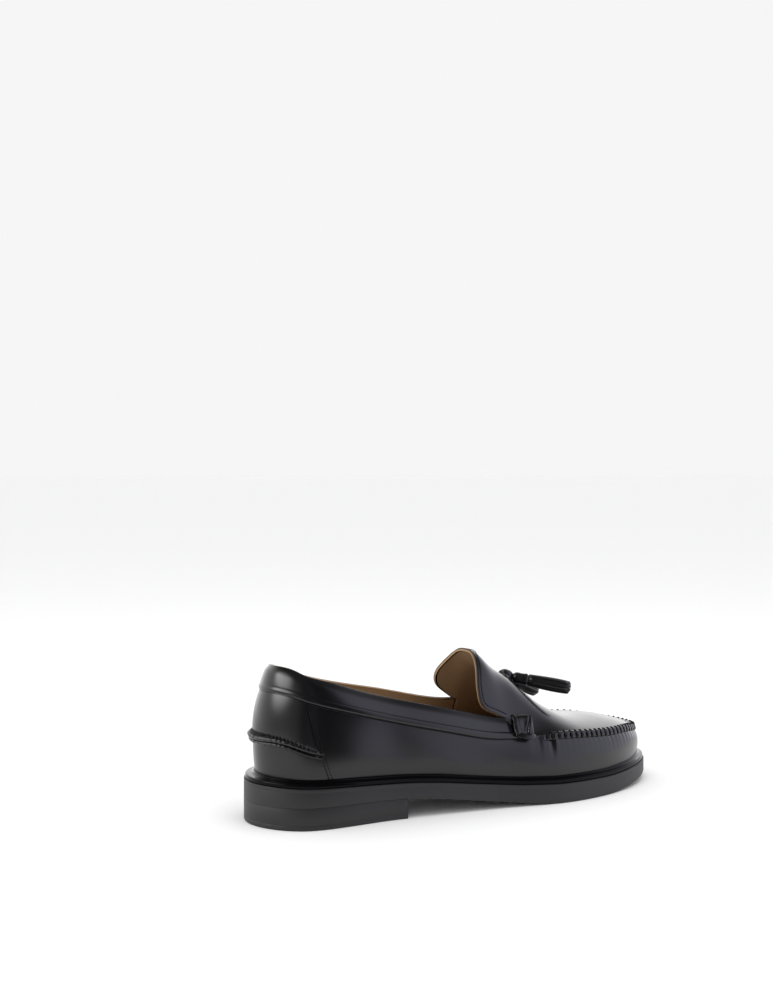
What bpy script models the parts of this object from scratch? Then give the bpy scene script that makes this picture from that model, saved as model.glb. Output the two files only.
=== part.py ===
"""A tassel loafer for the right foot, standing on its heel and forefoot.

Metres, +Z up, toe towards +X, the foot's inner (medial) side towards +Y. The origin is under the
middle of the shoe, on the floor. Every height, inset and length below is a share of a named size.
"""

import math

import bmesh
import bpy
import numpy as np
from mathutils import Matrix, Vector
from mathutils.bvhtree import BVHTree

MM = 0.001

# Driving sizes
SOLE_LENGTH = 296 * MM
BALL_WIDTH = 104.5 * MM
HEEL_LENGTH = 86.3 * MM
HEEL_HEIGHT = 13.2 * MM
SOLE_THICKNESS = 10 * MM
COLLAR_HEIGHT = 92.4 * MM
TONGUE_HEIGHT = 96 * MM
WELT_SHELF = 5.5 * MM
WELT_RISE = 4.4 * MM
WALL = 2.2 * MM
INSOLE_THICKNESS = 3 * MM
TAB_WIDTH = 13 * MM
TAB_HEIGHT = 14 * MM
TAB_THICKNESS = 3.6 * MM
LACE_WIDTH = 4 * MM
LACE_THICKNESS = 1.8 * MM
KNOT_WIDTH = 7 * MM
TASSEL_LENGTH = 38 * MM
TASSEL_RADIUS = 4.2 * MM
TONGUE_REACH = 18.5 * MM

# Fits between neighbours
GAP = 0.3 * MM
CLEAR = 1.0 * MM
TANGENT_STEP = 0.2 * MM

# Low relief on the outside of the upper
BAND_STEP = 1.2 * MM
SEAM_RIDGE = 1.6 * MM
HEEL_RIDGE = 4.4 * MM
COUNTER_STEP = 0.7 * MM

HALF = SOLE_LENGTH / 2
STATIONS = 42
LATERAL, MEDIAL = -1, 1

# The sole's outline: share of the length from the heel, share of half the ball width, medial positive
HEEL_BACK = (0.0, 0.058)
TOE_TIP = (1.0, 0.168)
LATERAL_EDGE = (
    (0.02, -0.340),
    (0.06, -0.570),
    (0.14, -0.660),
    (0.26, -0.662),
    (0.37, -0.742),
    (0.52, -0.86),
    (0.65, -1.0),
    (0.77, -0.94),
    (0.88, -0.724),
    (0.955, -0.422),
    (0.99, -0.151),
)
MEDIAL_EDGE = (
    (0.985, 0.60),
    (0.93, 0.831),
    (0.84, 0.965),
    (0.72, 1.0),
    (0.60, 0.91),
    (0.48, 0.70),
    (0.37, 0.614),
    (0.26, 0.672),
    (0.14, 0.745),
    (0.06, 0.662),
    (0.02, 0.420),
)

# Share of the length, underside as a share of the heel's height, thickness as a share of the sole's
SOLE_PROFILE = (
    (0.00, 1.00, 1.16),
    (0.14, 0.98, 1.04),
    (0.27, 0.92, 0.94),
    (0.36, 0.74, 1.00),
    (0.45, 0.47, 1.04),
    (0.54, 0.21, 1.10),
    (0.61, 0.04, 1.20),
    (0.65, 0.00, 1.21),
    (0.77, 0.00, 1.18),
    (0.88, 0.18, 1.05),
    (1.00, 0.41, 0.85),
)

# Share of the length; insets from the sole's edge, as shares of the welt's shelf, of the foot line,
# the fullest place and the seam; height of the seam as a share of the collar's
WALL_SECTIONS = (
    (0.00, 1.25, 0.98, 1.90, 0.846),
    (0.05, 1.15, 0.90, 1.60, 0.816),
    (0.12, 1.00, 0.74, 1.05, 0.758),
    (0.20, 1.00, 0.64, 0.66, 0.689),
    (0.30, 1.00, 0.60, 0.52, 0.605),
    (0.40, 1.00, 0.62, 0.58, 0.530),
    (0.50, 1.00, 0.72, 0.98, 0.462),
    (0.58, 1.00, 0.80, 1.42, 0.452),
    (0.66, 1.00, 0.84, 1.62, 0.452),
    (0.75, 0.96, 0.82, 1.70, 0.434),
    (0.84, 0.88, 0.78, 1.66, 0.416),
    (0.92, 0.84, 0.76, 1.54, 0.400),
    (1.00, 0.82, 0.76, 1.36, 0.368),
)

# Share of the length; inset of the collar's edge as a share of the welt's shelf; its height on the
# lateral and on the medial side as shares of the collar's
COLLAR_SECTIONS = (
    (0.00, 2.85, 1.000, 1.000),
    (0.05, 2.60, 0.966, 0.968),
    (0.12, 2.15, 0.915, 0.920),
    (0.20, 1.70, 0.837, 0.852),
    (0.30, 1.48, 0.748, 0.782),
    (0.40, 1.50, 0.675, 0.722),
    (0.50, 1.85, 0.604, 0.676),
    (0.58, 2.20, 0.562, 0.655),
    (0.66, 2.40, 0.550, 0.645),
    (0.75, 2.40, 0.550, 0.645),
)

# The ridge over the instep: share of the length, height as a share of the tongue's
RIDGE = (
    (0.495, 0.993),
    (0.515, 0.974),
    (0.535, 0.918),
    (0.556, 0.864),
    (0.583, 0.812),
    (0.615, 0.740),
    (0.665, 0.621),
    (0.693, 0.572),
    (0.726, 0.526),
    (0.766, 0.490),
    (0.833, 0.460),
    (0.900, 0.430),
    (0.947, 0.393),
    (0.975, 0.368),
)

# The tassels: start beside the knot and run, along the shoe, across it and down
LATERAL_FALL = (0.852, -0.488, -0.19)
MEDIAL_FALL = (0.86, 0.36, -0.34)

BELLY_SHARE = 0.45
RIDGE_CLIMB = 0.095
THROAT_SHARE = 0.535
RIDGE_ROWS = (0.31, 0.36, 0.40, 0.44, 0.49)
WALL_ROWS = (0.0, 0.1, 0.2) + RIDGE_ROWS + (0.6, 0.74, 0.87, 0.955, 1.0)
BAND_ROWS = 3
ARCH_ROWS = 8
TONGUE_ROWS = 3
ARCH_CROWDING = 1.4
BAND_FADE = 2
LATERAL_THROAT = 0.352
MEDIAL_THROAT = 0.415
# How far the tongue's edge lies behind the throat: share of the way from the collar to the ridge,
# then shares of the tongue's reach on the lateral and on the medial side
TONGUE_EDGE = (
    (0.00, 0.00, 0.00),
    (0.02, 0.31, 0.30),
    (0.06, 0.76, 0.62),
    (0.11, 0.95, 0.84),
    (0.17, 1.00, 0.95),
    (0.22, 0.99, 0.98),
    (0.28, 0.97, 0.95),
    (0.37, 0.89, 0.80),
    (0.49, 0.78, 0.63),
    (0.66, 0.68, 0.54),
    (0.83, 0.60, 0.54),
    (1.00, 0.57, 0.57),
)
TAB_SHARE = 0.561
TAB_TILT = math.radians(25)
TAB_LIFT = 0.5
SEAT_PROBES = 25
KNOT_SHARE = 0.607
LACE_REACH = 0.16
LACE_SET = 0.42
TASSEL_STRIPS = 12
# Part of the tassel's length, radius as a share of the tassel's, depth of the partings between strips
TASSEL_RINGS = (
    (0.00, 0.62, 0.0),
    (0.04, 0.84, 0.0),
    (0.22, 0.90, 0.0),
    (0.25, 0.76, 0.0),
    (0.29, 0.92, 0.10),
    (0.55, 1.05, 0.22),
    (0.80, 1.00, 0.34),
    (1.00, 0.88, 0.44),
)
SOLE_GREY = (0.045, 0.045, 0.048)
POLISHED_BLACK = (0.012, 0.012, 0.013)
LINING_BROWN = (0.10, 0.058, 0.03)


def spline(keys, values, period=None):
    """A cubic through the values: closed where it has a period, else with free ends."""
    keys = np.asarray(keys, float)
    values = np.asarray(values, float).reshape(len(keys), -1)
    if period is not None:
        keys = np.append(keys, keys[0] + period)
        values = np.vstack((values, values[:1]))
    steps = np.diff(keys)
    slopes = np.diff(values, axis=0) / steps[:, None]
    last = len(steps)
    matrix = np.eye(last + 1)
    target = np.zeros_like(values)
    for i in range(1, last):
        matrix[i, i - 1 : i + 2] = steps[i - 1], 2 * (steps[i - 1] + steps[i]), steps[i]
        target[i] = 6 * (slopes[i] - slopes[i - 1])
    if period is not None:
        matrix[0, [last - 1, 0, 1]] = steps[-1], 2 * (steps[-1] + steps[0]), steps[0]
        target[0] = 6 * (slopes[0] - slopes[-1])
        matrix[last, 0] = -1
    bends = np.linalg.solve(matrix, target)

    def at(where):
        where = np.atleast_1d(np.asarray(where, float))
        if period is not None:
            where = keys[0] + (where - keys[0]) % period
        i = np.clip(np.searchsorted(keys, where, side="right") - 1, 0, last - 1)
        step = steps[i][:, None]
        a = (keys[i + 1] - where)[:, None] / step
        b = 1 - a
        bend = (a**3 - a) * bends[i] + (b**3 - b) * bends[i + 1]
        return a * values[i] + b * values[i + 1] + bend * step * step / 6

    return at


def table(rows):
    """The rows of a table as a curve over their first column."""
    rows = np.array(rows)
    return spline(rows[:, 0], rows[:, 1:])


def mirrored(rows):
    """A table of sections, run round the heel's back and the toe so that it is smooth there."""
    rows = np.array(rows)
    back, front = rows[3:0:-1].copy(), rows[-2:-5:-1].copy()
    back[:, 0] *= -1
    front[:, 0] = 2 * rows[-1, 0] - front[:, 0]
    return table(np.vstack((back, rows, front)))


def steady(rows):
    """The rows as a curve that never swings past them, for a sole that stays flat where it is flat."""
    rows = np.array(rows)
    keys, values = rows[:, 0], rows[:, 1:]
    steps = np.diff(keys)[:, None]
    slopes = np.diff(values, axis=0) / steps
    tangents = np.zeros_like(values)
    turning = slopes[:-1] * slopes[1:] > 0
    safe = np.where(turning, slopes[:-1] + slopes[1:], 1)
    tangents[1:-1] = np.where(turning, 2 * slopes[:-1] * slopes[1:] / safe, 0)
    tangents[0], tangents[-1] = slopes[0], slopes[-1]

    def at(where):
        where = np.clip(np.atleast_1d(np.asarray(where, float)), keys[0], keys[-1])
        i = np.clip(np.searchsorted(keys, where, side="right") - 1, 0, len(keys) - 2)
        step = steps[i]
        t = ((where - keys[i]) / step[:, 0])[:, None]
        rise = values[i + 1] - values[i]
        start, end = tangents[i] * step, tangents[i + 1] * step
        return values[i] + t * (start + t * (3 * rise - 2 * start - end + t * (start + end - 2 * rise)))

    return at


def outline_curve():
    """The sole's edge as a closed curve, and its middle, which becomes the origin."""
    points = np.array((HEEL_BACK,) + LATERAL_EDGE + (TOE_TIP,) + MEDIAL_EDGE)
    points *= (SOLE_LENGTH, BALL_WIDTH / 2)
    around = np.vstack((points, points[:1]))
    lengths = np.append(0, np.cumsum(np.hypot(*np.diff(around, axis=0).T)))
    curve = spline(lengths[:-1], points, lengths[-1])
    dense = np.linspace(0, lengths[-1], 2001)
    there = curve(dense)
    middle = (there.min(axis=0) + there.max(axis=0)) / 2
    heel, toe = np.argmin(there[:1000, 0]), np.argmax(there[:, 0])
    ways = {
        LATERAL: (there[heel : toe + 1, 0], dense[heel : toe + 1]),
        MEDIAL: (there[toe:, 0][::-1], dense[toe:][::-1]),
    }
    return curve, middle, ways


OUTLINE, MIDDLE, WAYS = outline_curve()
wall_at = mirrored(WALL_SECTIONS)
collar_at = mirrored(COLLAR_SECTIONS)
ridge_at = table(RIDGE)
sole_at = steady(SOLE_PROFILE)
tongue_edge_at = steady(TONGUE_EDGE)


def edge(share, side):
    """Points on the sole's edge at these shares of its length, and the way out from each, in plan."""
    xs, places = WAYS[side]
    where = np.interp(np.atleast_1d(share) * SOLE_LENGTH, xs, places)
    step = TANGENT_STEP
    tangent = OUTLINE(where + step) - OUTLINE(where - step)
    tangent /= np.linalg.norm(tangent, axis=1)[:, None]
    return OUTLINE(where) - MIDDLE, np.stack((tangent[:, 1], -tangent[:, 0]), axis=1)


def share_of(x):
    return (np.asarray(x) + HALF) / SOLE_LENGTH


def sole_underside(x):
    return sole_at(share_of(x))[:, 0] * HEEL_HEIGHT


def sole_top(x):
    return sole_underside(x) + sole_at(share_of(x))[:, 1] * SOLE_THICKNESS


def station_shares():
    """Shares of the length, closer together round the heel and the toe."""
    return (1 - np.cos(math.pi * np.arange(STATIONS + 1) / STATIONS)) / 2


def ring(inset, height):
    """One loop round the shoe: from the heel's back by the lateral side to the toe and back."""
    shares = station_shares()
    loops = []
    for side in (LATERAL, MEDIAL):
        place, out = edge(shares, side)
        plan = place - out * np.atleast_1d(inset(shares, side))[:, None]
        loops.append(np.column_stack((plan, height(shares, side, plan))))
    return np.vstack((loops[0], loops[1][-2:0:-1]))


def wall_inset(share, row):
    """How far the upper stands inside the sole's edge, at this share of the way up to the seam."""
    foot, belly, seam, _ = wall_at(share).T
    under = np.clip((BELLY_SHARE - row) / BELLY_SHARE, 0, 1)
    over = np.clip((row - BELLY_SHARE) / (1 - BELLY_SHARE), 0, 1)
    return (belly + (foot - belly) * under**2 + (seam - belly) * over**2.3) * WELT_SHELF


def climb(share, row):
    """The wall's rows rise towards the heel's back, where the ridge does."""
    return row + RIDGE_CLIMB * (1 - soft_step(share, 0, 0.13)) * math.sin(math.pi * row)


def wall_ring(row):
    """The loop of the upper's side at this share of the height from its foot to the seam."""

    def height(share, _side, plan):
        foot = sole_top(plan[:, 0]) + GAP
        return foot + climb(share, row) * (wall_at(share)[:, 3] * COLLAR_HEIGHT - foot)

    return ring(lambda share, _side: wall_inset(share, climb(share, row)), height)


def collar_ring():
    """The loop of the collar's edge. Only its part behind the throat is used."""
    column = {LATERAL: 1, MEDIAL: 2}
    return ring(
        lambda share, _side: collar_at(share)[:, 0] * WELT_SHELF,
        lambda share, side, _plan: collar_at(share)[:, column[side]] * COLLAR_HEIGHT,
    )


def arch_height(width, steep):
    """Height across a section of the vamp, 0 at the seam and 1 on the ridge."""
    return (1 - np.abs(width) ** (2.2 + 0.8 * steep)) ** (1 + 0.4 * steep)


def arch_widths(throat):
    """Shares of the half width from the seam to the ridge, with one row where the collar's edge ends."""
    turns = np.concatenate((
        np.linspace(0, throat, BAND_ROWS + 1),
        throat + (1 - throat) * np.linspace(0, 1, ARCH_ROWS + 1)[1:] ** ARCH_CROWDING,
    ))
    return np.cos(turns * math.pi / 2)


def ridge_height(x):
    return ridge_at(np.maximum(share_of(x), RIDGE[0][0]))[:, 0] * TONGUE_HEIGHT


def steepness(x):
    """0 over the toes, where the vamp is a low dome, and 1 at the tongue, where its sides stand up."""
    return np.clip((0.72 - share_of(x)) / 0.14, 0, 1)


def arch(lateral, medial, pull):
    """One section of the vamp, from the lateral seam over the ridge to the medial seam.

    pull, 0 at the throat and 1 at the tongue's back edge, draws the section back above the collar.
    """
    middle = (lateral + medial) / 2
    steep = steepness(middle[0])
    rows = []
    sides = ((lateral, LATERAL_THROAT, 1, 0), (medial, MEDIAL_THROAT, -1, 1))
    for base, throat, sign, column in sides:
        width = arch_widths(throat)
        turns = np.arccos(width) * 2 / math.pi
        above = np.clip((turns - throat) / (1 - throat), 0, 1)
        back = pull * TONGUE_REACH * tongue_edge_at(above)[:, column]
        x = middle[0] + (base[0] - middle[0]) * width - back
        y = middle[1] + (base[1] - middle[1]) * width
        top = ridge_height(middle[0] - back)
        z = base[2] + arch_height(width, steep) * (top - base[2])
        rows.append(np.column_stack((x, y, z))[::sign])
    return np.vstack((rows[0], rows[1][1:]))


def bump(distance, reach):
    """A soft hump, 1 in its middle and 0 from its reach on."""
    return 0.5 + 0.5 * np.cos(math.pi * np.clip(np.abs(distance) / reach, 0, 1))


def soft_step(value, start, end):
    t = np.clip((value - start) / (end - start), 0, 1)
    return t * t * (3 - 2 * t)


class Surface:
    """Points with a lift along their normal, and the faces between them. Equal points are one."""

    def __init__(self):
        self.points, self.lifts, self.faces, self.known = [], [], [], {}

    def point(self, place, lift):
        key = tuple(np.round(place / (0.001 * MM)).astype(int))
        if key not in self.known:
            self.known[key] = len(self.points)
            self.points.append(place)
            self.lifts.append(float(lift))
        return self.known[key]

    def face(self, corners):
        kept = [corner for i, corner in enumerate(corners) if corner != corners[i - 1]]
        if len(kept) > 2:
            self.faces.append(kept)

    def strip(self, first, second):
        """Faces between two rows of points, given as (place, lift) pairs of one length."""
        first = [self.point(*item) for item in first]
        second = [self.point(*item) for item in second]
        for i in range(len(first) - 1):
            self.face((first[i], first[i + 1], second[i + 1], second[i]))


def wall_lifts(row, loop):
    """Relief of one wall row: the ridge round the heel, the counter's patch and the seam."""
    share = share_of(loop[:, 0])
    heel = HEEL_RIDGE * bump(row - 0.40, 0.085) * (1 - soft_step(share, 0.02, 0.11) * 0.7)
    heel *= 1 - soft_step(share, 0.08, 0.15)
    counter = COUNTER_STEP * (1 - soft_step(share, 0.10, 0.13)) * soft_step(row, 0.44, 0.49)
    return heel + counter * (1 - soft_step(row, 0.87, 0.955))


def seam_lifts(loop):
    """Relief along the seam: the band's step at the back, the raised seam in front."""
    front = soft_step(share_of(loop[:, 0]), TAB_SHARE - 0.01, TAB_SHARE + 0.04)
    return BAND_STEP * (1 - front) + SEAM_RIDGE * front


def upper_surface():
    """The smooth outside of the upper with its relief, open at the throat and underneath."""
    surface = Surface()
    count = 2 * STATIONS
    closed = np.append(np.arange(count), 0)
    rings = [wall_ring(row) for row in WALL_ROWS]
    lifts = [wall_lifts(row, loop) for row, loop in zip(WALL_ROWS, rings)]
    lifts[-1] = seam_lifts(rings[-1])
    for low in range(len(rings) - 1):
        surface.strip(
            [(rings[low][i], lifts[low][i]) for i in closed],
            [(rings[low + 1][i], lifts[low + 1][i]) for i in closed],
        )
    seam, seam_lift, collar = rings[-1], lifts[-1], collar_ring()
    throat = int(np.argmax(station_shares() >= THROAT_SHARE))
    sections = {k: arch(seam[k], seam[count - k], 0) for k in range(throat, STATIONS)}
    at_throat = sections[throat]
    lead = soft_step(share_of(collar[:, 0]), THROAT_SHARE - 0.22, THROAT_SHARE)[:, None]
    for ends, end, foot in ((slice(0, STATIONS), throat, at_throat[BAND_ROWS]),
                            (slice(STATIONS, count), count - throat, at_throat[-1 - BAND_ROWS])):
        collar[ends] += lead[ends] * (foot - collar[end])

    # The band's last columns, at the throat, are the foot of the first section of the vamp
    rear = [k % count for k in range(count - throat, count + throat + 1)]
    rows = []
    for row in range(BAND_ROWS + 1):
        rise = row / BAND_ROWS
        lean = seam + (collar - seam) * rise
        lean[throat] = at_throat[row]
        lean[count - throat] = at_throat[-1 - row]
        rows.append([(lean[i], BAND_STEP if row else seam_lift[i]) for i in rear])
    for low, high in zip(rows, rows[1:]):
        surface.strip(low, high)

    def vamp_row(k):
        section = sections[k]
        fade = 1 - soft_step(k, throat, throat + BAND_FADE)
        row = [(place, BAND_STEP * fade) for place in section]
        row[0], row[-1] = (seam[k], seam_lift[k]), (seam[count - k], seam_lift[count - k])
        if fade < 1:
            return row
        held = BAND_ROWS + 1
        middle = [(place, 0.0) for place in section[held:-held]]
        return row[:held] + middle + row[-held:]

    for k in range(throat, STATIONS - 1):
        surface.strip(vamp_row(k), vamp_row(k + 1))
    last = vamp_row(STATIONS - 1)
    surface.strip(last, [(seam[STATIONS], seam_lift[STATIONS])] * len(last))

    # The tongue's free end, drawn back from the throat
    free = slice(BAND_ROWS, len(at_throat) - BAND_ROWS)
    before = vamp_row(throat)[free]
    for step in range(1, TONGUE_ROWS + 1):
        drawn = arch(seam[throat], seam[count - throat], step / TONGUE_ROWS)[free]
        after = [before[0]] + [(place, 0.0) for place in drawn[1:-1]] + [before[-1]]
        surface.strip(after, before)
        before = after
    return surface


def walled(name, surface, thickness):
    """A closed solid: the lifted surface outside, the plain one set in by the thickness inside."""
    skin = bmesh.new()
    corners = [skin.verts.new(place) for place in surface.points]
    for face in surface.faces:
        skin.faces.new([corners[i] for i in face])
    bmesh.ops.recalc_face_normals(skin, faces=skin.faces)
    skin.verts.index_update()
    plain = np.array(surface.points)
    normals = np.array([corner.normal for corner in corners])
    if (normals * (plain - plain.mean(axis=0))).sum() < 0:
        normals = -normals
    outer = plain + normals * np.array(surface.lifts, float)[:, None]
    inner = plain - normals * thickness
    count = len(plain)
    faces = [[corner.index for corner in face.verts] for face in skin.faces]
    rims = [[corner.index for corner in side.verts] for side in skin.edges if side.is_boundary]
    skin.free()
    faces += [[i + count for i in reversed(face)] for face in faces]
    faces += [[a, b, b + count, a + count] for a, b in rims]
    return solid(name, np.vstack((outer, inner)), faces)


def solid(name, points, faces):
    """An object from points and faces, its normals made to face out."""
    mesh = bpy.data.meshes.new(name)
    mesh.from_pydata([tuple(point) for point in points], [], faces)
    shape = bmesh.new()
    shape.from_mesh(mesh)
    bmesh.ops.recalc_face_normals(shape, faces=shape.faces)
    if shape.calc_volume(signed=True) < 0:
        bmesh.ops.reverse_faces(shape, faces=shape.faces)
    shape.to_mesh(mesh)
    shape.free()
    return bpy.data.objects.new(name, mesh)


def between(low, high):
    """Faces between two loops of equal length, given by their first indices and their length."""

    def faces(count):
        return [[low + i, low + (i + 1) % count, high + (i + 1) % count, high + i] for i in range(count)]

    return faces


def slab(name, loops):
    """A plate from loops round the shoe, bottom to top, closed across from side to side."""
    count = len(loops[0])
    points = np.vstack(loops)
    faces = []
    for i in range(len(loops) - 1):
        faces += between(i * count, (i + 1) * count)(count)
    for start in (0, (len(loops) - 1) * count):
        for k in range(count // 2):
            corners = [k, k + 1, (count - k - 1) % count, (count - k) % count]
            kept = [start + c for i, c in enumerate(corners) if c != corners[i - 1]]
            faces.append(kept)
    return solid(name, points, faces)


def level_ring(inset, surface_height, lift):
    """A loop inset from the sole's edge, lifted above (or below) a height that follows the length."""
    return ring(
        lambda share, _side: np.full(len(share), inset),
        lambda _share, _side, plan: surface_height(plan[:, 0]) + lift,
    )


def outsole():
    """The sole as one thick layer, flat under the forefoot and rounded at its lower edge."""
    round_edge = 0.09 * SOLE_THICKNESS
    return slab("outsole", [
        level_ring(round_edge, sole_underside, 0),
        level_ring(0, sole_underside, round_edge),
        level_ring(0, sole_top, -0.5 * round_edge),
        level_ring(0.5 * round_edge, sole_top, 0),
    ])


def heel_block():
    """The heel under the back of the sole, cut straight across at the breast."""
    breast = HEEL_LENGTH / SOLE_LENGTH
    shares = breast * (1 - np.cos(math.pi / 2 * np.arange(17) / 16))
    chamfer = 0.06 * HEEL_HEIGHT
    loops = []
    for inset, top in ((chamfer, 0), (0, 0), (0, 1)):
        sides = []
        for side in (LATERAL, MEDIAL):
            place, out = edge(shares, side)
            sides.append(place - out * inset)
        plan = np.vstack((sides[0], sides[1][:0:-1]))
        height = sole_underside(plan[:, 0]) - GAP if top else np.full(len(plan), 0.0 if inset else chamfer)
        loops.append(np.column_stack((plan, height)))
    count = len(loops[0])
    faces = between(0, count)(count) + between(count, 2 * count)(count)
    faces.append(list(range(count)))
    half = len(shares)
    for k in range(half - 1):
        corners = [k, k + 1, (count - k - 1) % count, (count - k) % count]
        faces.append([2 * count + c for i, c in enumerate(corners) if c != corners[i - 1]])
    return solid("heel_block", np.vstack(loops), faces)


def welt():
    """The raised strip round the sole's edge: a stitched shelf, then a rise to the upper."""
    shares_up = (0.0, 0.10, 0.16)

    def inner(share, _side):
        lowest = np.min([wall_inset(share, row) for row in shares_up], axis=0)
        return lowest - GAP

    def shelf(part):
        return lambda share, side: part * inner(share, side) + (1 - part) * 0.13 * WELT_SHELF

    def lifted(part):
        return lambda _share, _side, plan: sole_top(plan[:, 0]) + GAP + part * WELT_RISE

    loops = [
        ring(inner, lifted(0)),
        ring(shelf(0), lifted(0)),
        ring(shelf(0), lifted(0.48)),
        ring(shelf(0.08), lifted(0.56)),
        ring(shelf(0.72), lifted(0.60)),
        ring(shelf(0.90), lifted(0.76)),
        ring(inner, lifted(1)),
    ]
    count = len(loops[0])
    faces = []
    for i in range(len(loops)):
        faces += between(i * count, (i + 1) % len(loops) * count)(count)
    return solid("welt", np.vstack(loops), faces)


def insole():
    """The footbed, lying on the sole inside the upper."""
    def inset(rounded):
        def at(share, _side):
            widest = np.max([wall_inset(share, row) for row in (0.0, 0.1, 0.2)], axis=0)
            return widest + WALL + 2 * GAP + rounded
        return at

    def height(lift):
        return lambda _share, _side, plan: sole_top(plan[:, 0]) + GAP + lift

    soft = 0.3 * INSOLE_THICKNESS
    return slab("insole", [
        ring(inset(0), height(0)),
        ring(inset(0), height(INSOLE_THICKNESS - soft)),
        ring(inset(soft), height(INSOLE_THICKNESS)),
    ])


def vamp_point(share, width):
    """A place on the vamp, from the lateral seam (-1) over the ridge (0) to the medial one (1), and out."""

    def place_at(share, width):
        ends = []
        for side in (LATERAL, MEDIAL):
            place, out = edge(share, side)
            plan = (place - out * wall_inset(share, 1.0)[:, None])[0]
            ends.append(np.append(plan, wall_at(share)[0, 3] * COLLAR_HEIGHT))
        middle = (ends[0] + ends[1]) / 2
        base = ends[0] if width < 0 else ends[1]
        place = middle + (base - middle) * abs(width)
        rise = ridge_height(middle[0])[0] - base[2]
        place[2] = base[2] + arch_height(width, steepness(middle[0])) * rise
        return place

    step = 0.002
    along = place_at(share + step, width) - place_at(share - step, width)
    across = place_at(share, width + step) - place_at(share, width - step)
    out = np.cross(along, across)
    along, out = along / np.linalg.norm(along), out / np.linalg.norm(out)
    return place_at(share, width), along, out


def rounded_box(name, size, corner, place, along, out):
    """A box with round edges, its first side along one direction and its last facing out."""
    shape = bmesh.new()
    bmesh.ops.create_cube(shape, size=1)
    bmesh.ops.scale(shape, vec=size, verts=shape.verts)
    bmesh.ops.bevel(shape, geom=shape.edges, offset=corner, segments=3, profile=0.5, affect="EDGES")
    across = np.cross(out, along)
    turn = Matrix(np.column_stack((along, across, out)).tolist()).to_4x4()
    bmesh.ops.transform(shape, matrix=Matrix.Translation(Vector(place)) @ turn, verts=shape.verts)
    mesh = bpy.data.meshes.new(name)
    shape.to_mesh(mesh)
    shape.free()
    return bpy.data.objects.new(name, mesh)


def seam_place(share, side):
    """A place on the seam, with the ways along it and out from the shoe in plan."""
    place, out = edge(share, side)
    plan = (place - out * wall_inset(share, 1.0)[:, None])[0]
    along = np.array((out[0, 1], -out[0, 0], 0)) * -side
    return np.append(plan, wall_at(share)[0, 3] * COLLAR_HEIGHT), along, np.append(out[0], 0)


def tab(name, side, beneath):
    """The folded tab over the end of the seam: a padded patch with two folds along its back edge."""
    place, along, outward = seam_place(TAB_SHARE, side)
    out = outward * math.cos(TAB_TILT) + np.array((0, 0, math.sin(TAB_TILT)))
    across = np.cross(out, along)
    place = place + np.array((0, 0, TAB_LIFT * TAB_HEIGHT))
    far = place + out * TAB_WIDTH
    drops = []
    for u in np.linspace(-0.5, 0.5, SEAT_PROBES):
        for v in np.linspace(-0.5, 0.5, SEAT_PROBES):
            start = far + along * u * TAB_WIDTH + across * v * TAB_HEIGHT
            drops.append(beneath.ray_cast(Vector(start), Vector(-out))[3] or TAB_WIDTH)
    place = far - out * (min(drops) - GAP - TAB_THICKNESS / 2)
    size = (TAB_WIDTH, TAB_HEIGHT, TAB_THICKNESS)
    patch = rounded_box(name, size, 0.4 * TAB_THICKNESS, place, along, out)
    for part in (-0.30, -0.12):
        at = place + along * part * TAB_WIDTH + out * 0.62 * TAB_THICKNESS
        groove_size = (0.07 * TAB_WIDTH, 0.84 * TAB_HEIGHT, 0.6 * TAB_THICKNESS)
        groove = rounded_box(f"{name}_fold", groove_size, 0.02 * TAB_WIDTH, at, along, out)
        cut(patch, groove)
    return patch


def cut(piece, cutter, operation="DIFFERENCE"):
    """Takes the cutter from the piece, or joins it on."""
    bpy.data.collections["cutters"].objects.link(cutter)
    cutter.hide_render = True
    cutter.display_type = "WIRE"
    boolean = piece.modifiers.new(cutter.name, "BOOLEAN")
    boolean.operation = operation
    boolean.solver = "EXACT"
    boolean.object = cutter


def strap(name, share, reach):
    """The lace laid over the ridge of the vamp, from one side of it to the other."""
    corners = []
    for width in np.linspace(-reach, reach, 13):
        place, along, out = vamp_point(share, width)
        for side, lift in ((-1, 0), (1, 0), (1, 1), (-1, 1)):
            lifted = place + out * (CLEAR + lift * LACE_THICKNESS)
            corners.append(lifted + along * side * LACE_WIDTH / 2)
    faces = []
    for i in range(12):
        faces += [[4 * i + c, 4 * i + (c + 1) % 4, 4 * i + 4 + (c + 1) % 4, 4 * i + 4 + c] for c in range(4)]
    faces += [[0, 1, 2, 3], [48, 49, 50, 51]]
    return solid(name, corners, faces)


def knot_place():
    """Where the lace's knot stands on the ridge: its middle, and the ways along and out."""
    place, along, out = vamp_point(KNOT_SHARE, 0.0)
    return place + out * (CLEAR + 0.36 * KNOT_WIDTH), along, out


def lace_knot():
    """The lace over the ridge and the knot in front of it that holds both tassels."""
    middle, along, out = knot_place()
    lace = strap("lace_knot", KNOT_SHARE - LACE_SET * KNOT_WIDTH * along[0] / SOLE_LENGTH, LACE_REACH)
    size = (0.85 * KNOT_WIDTH, KNOT_WIDTH, 0.72 * KNOT_WIDTH)
    cut(lace, rounded_box("knot", size, 0.24 * KNOT_WIDTH, middle, along, out), "UNION")
    return lace


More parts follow.
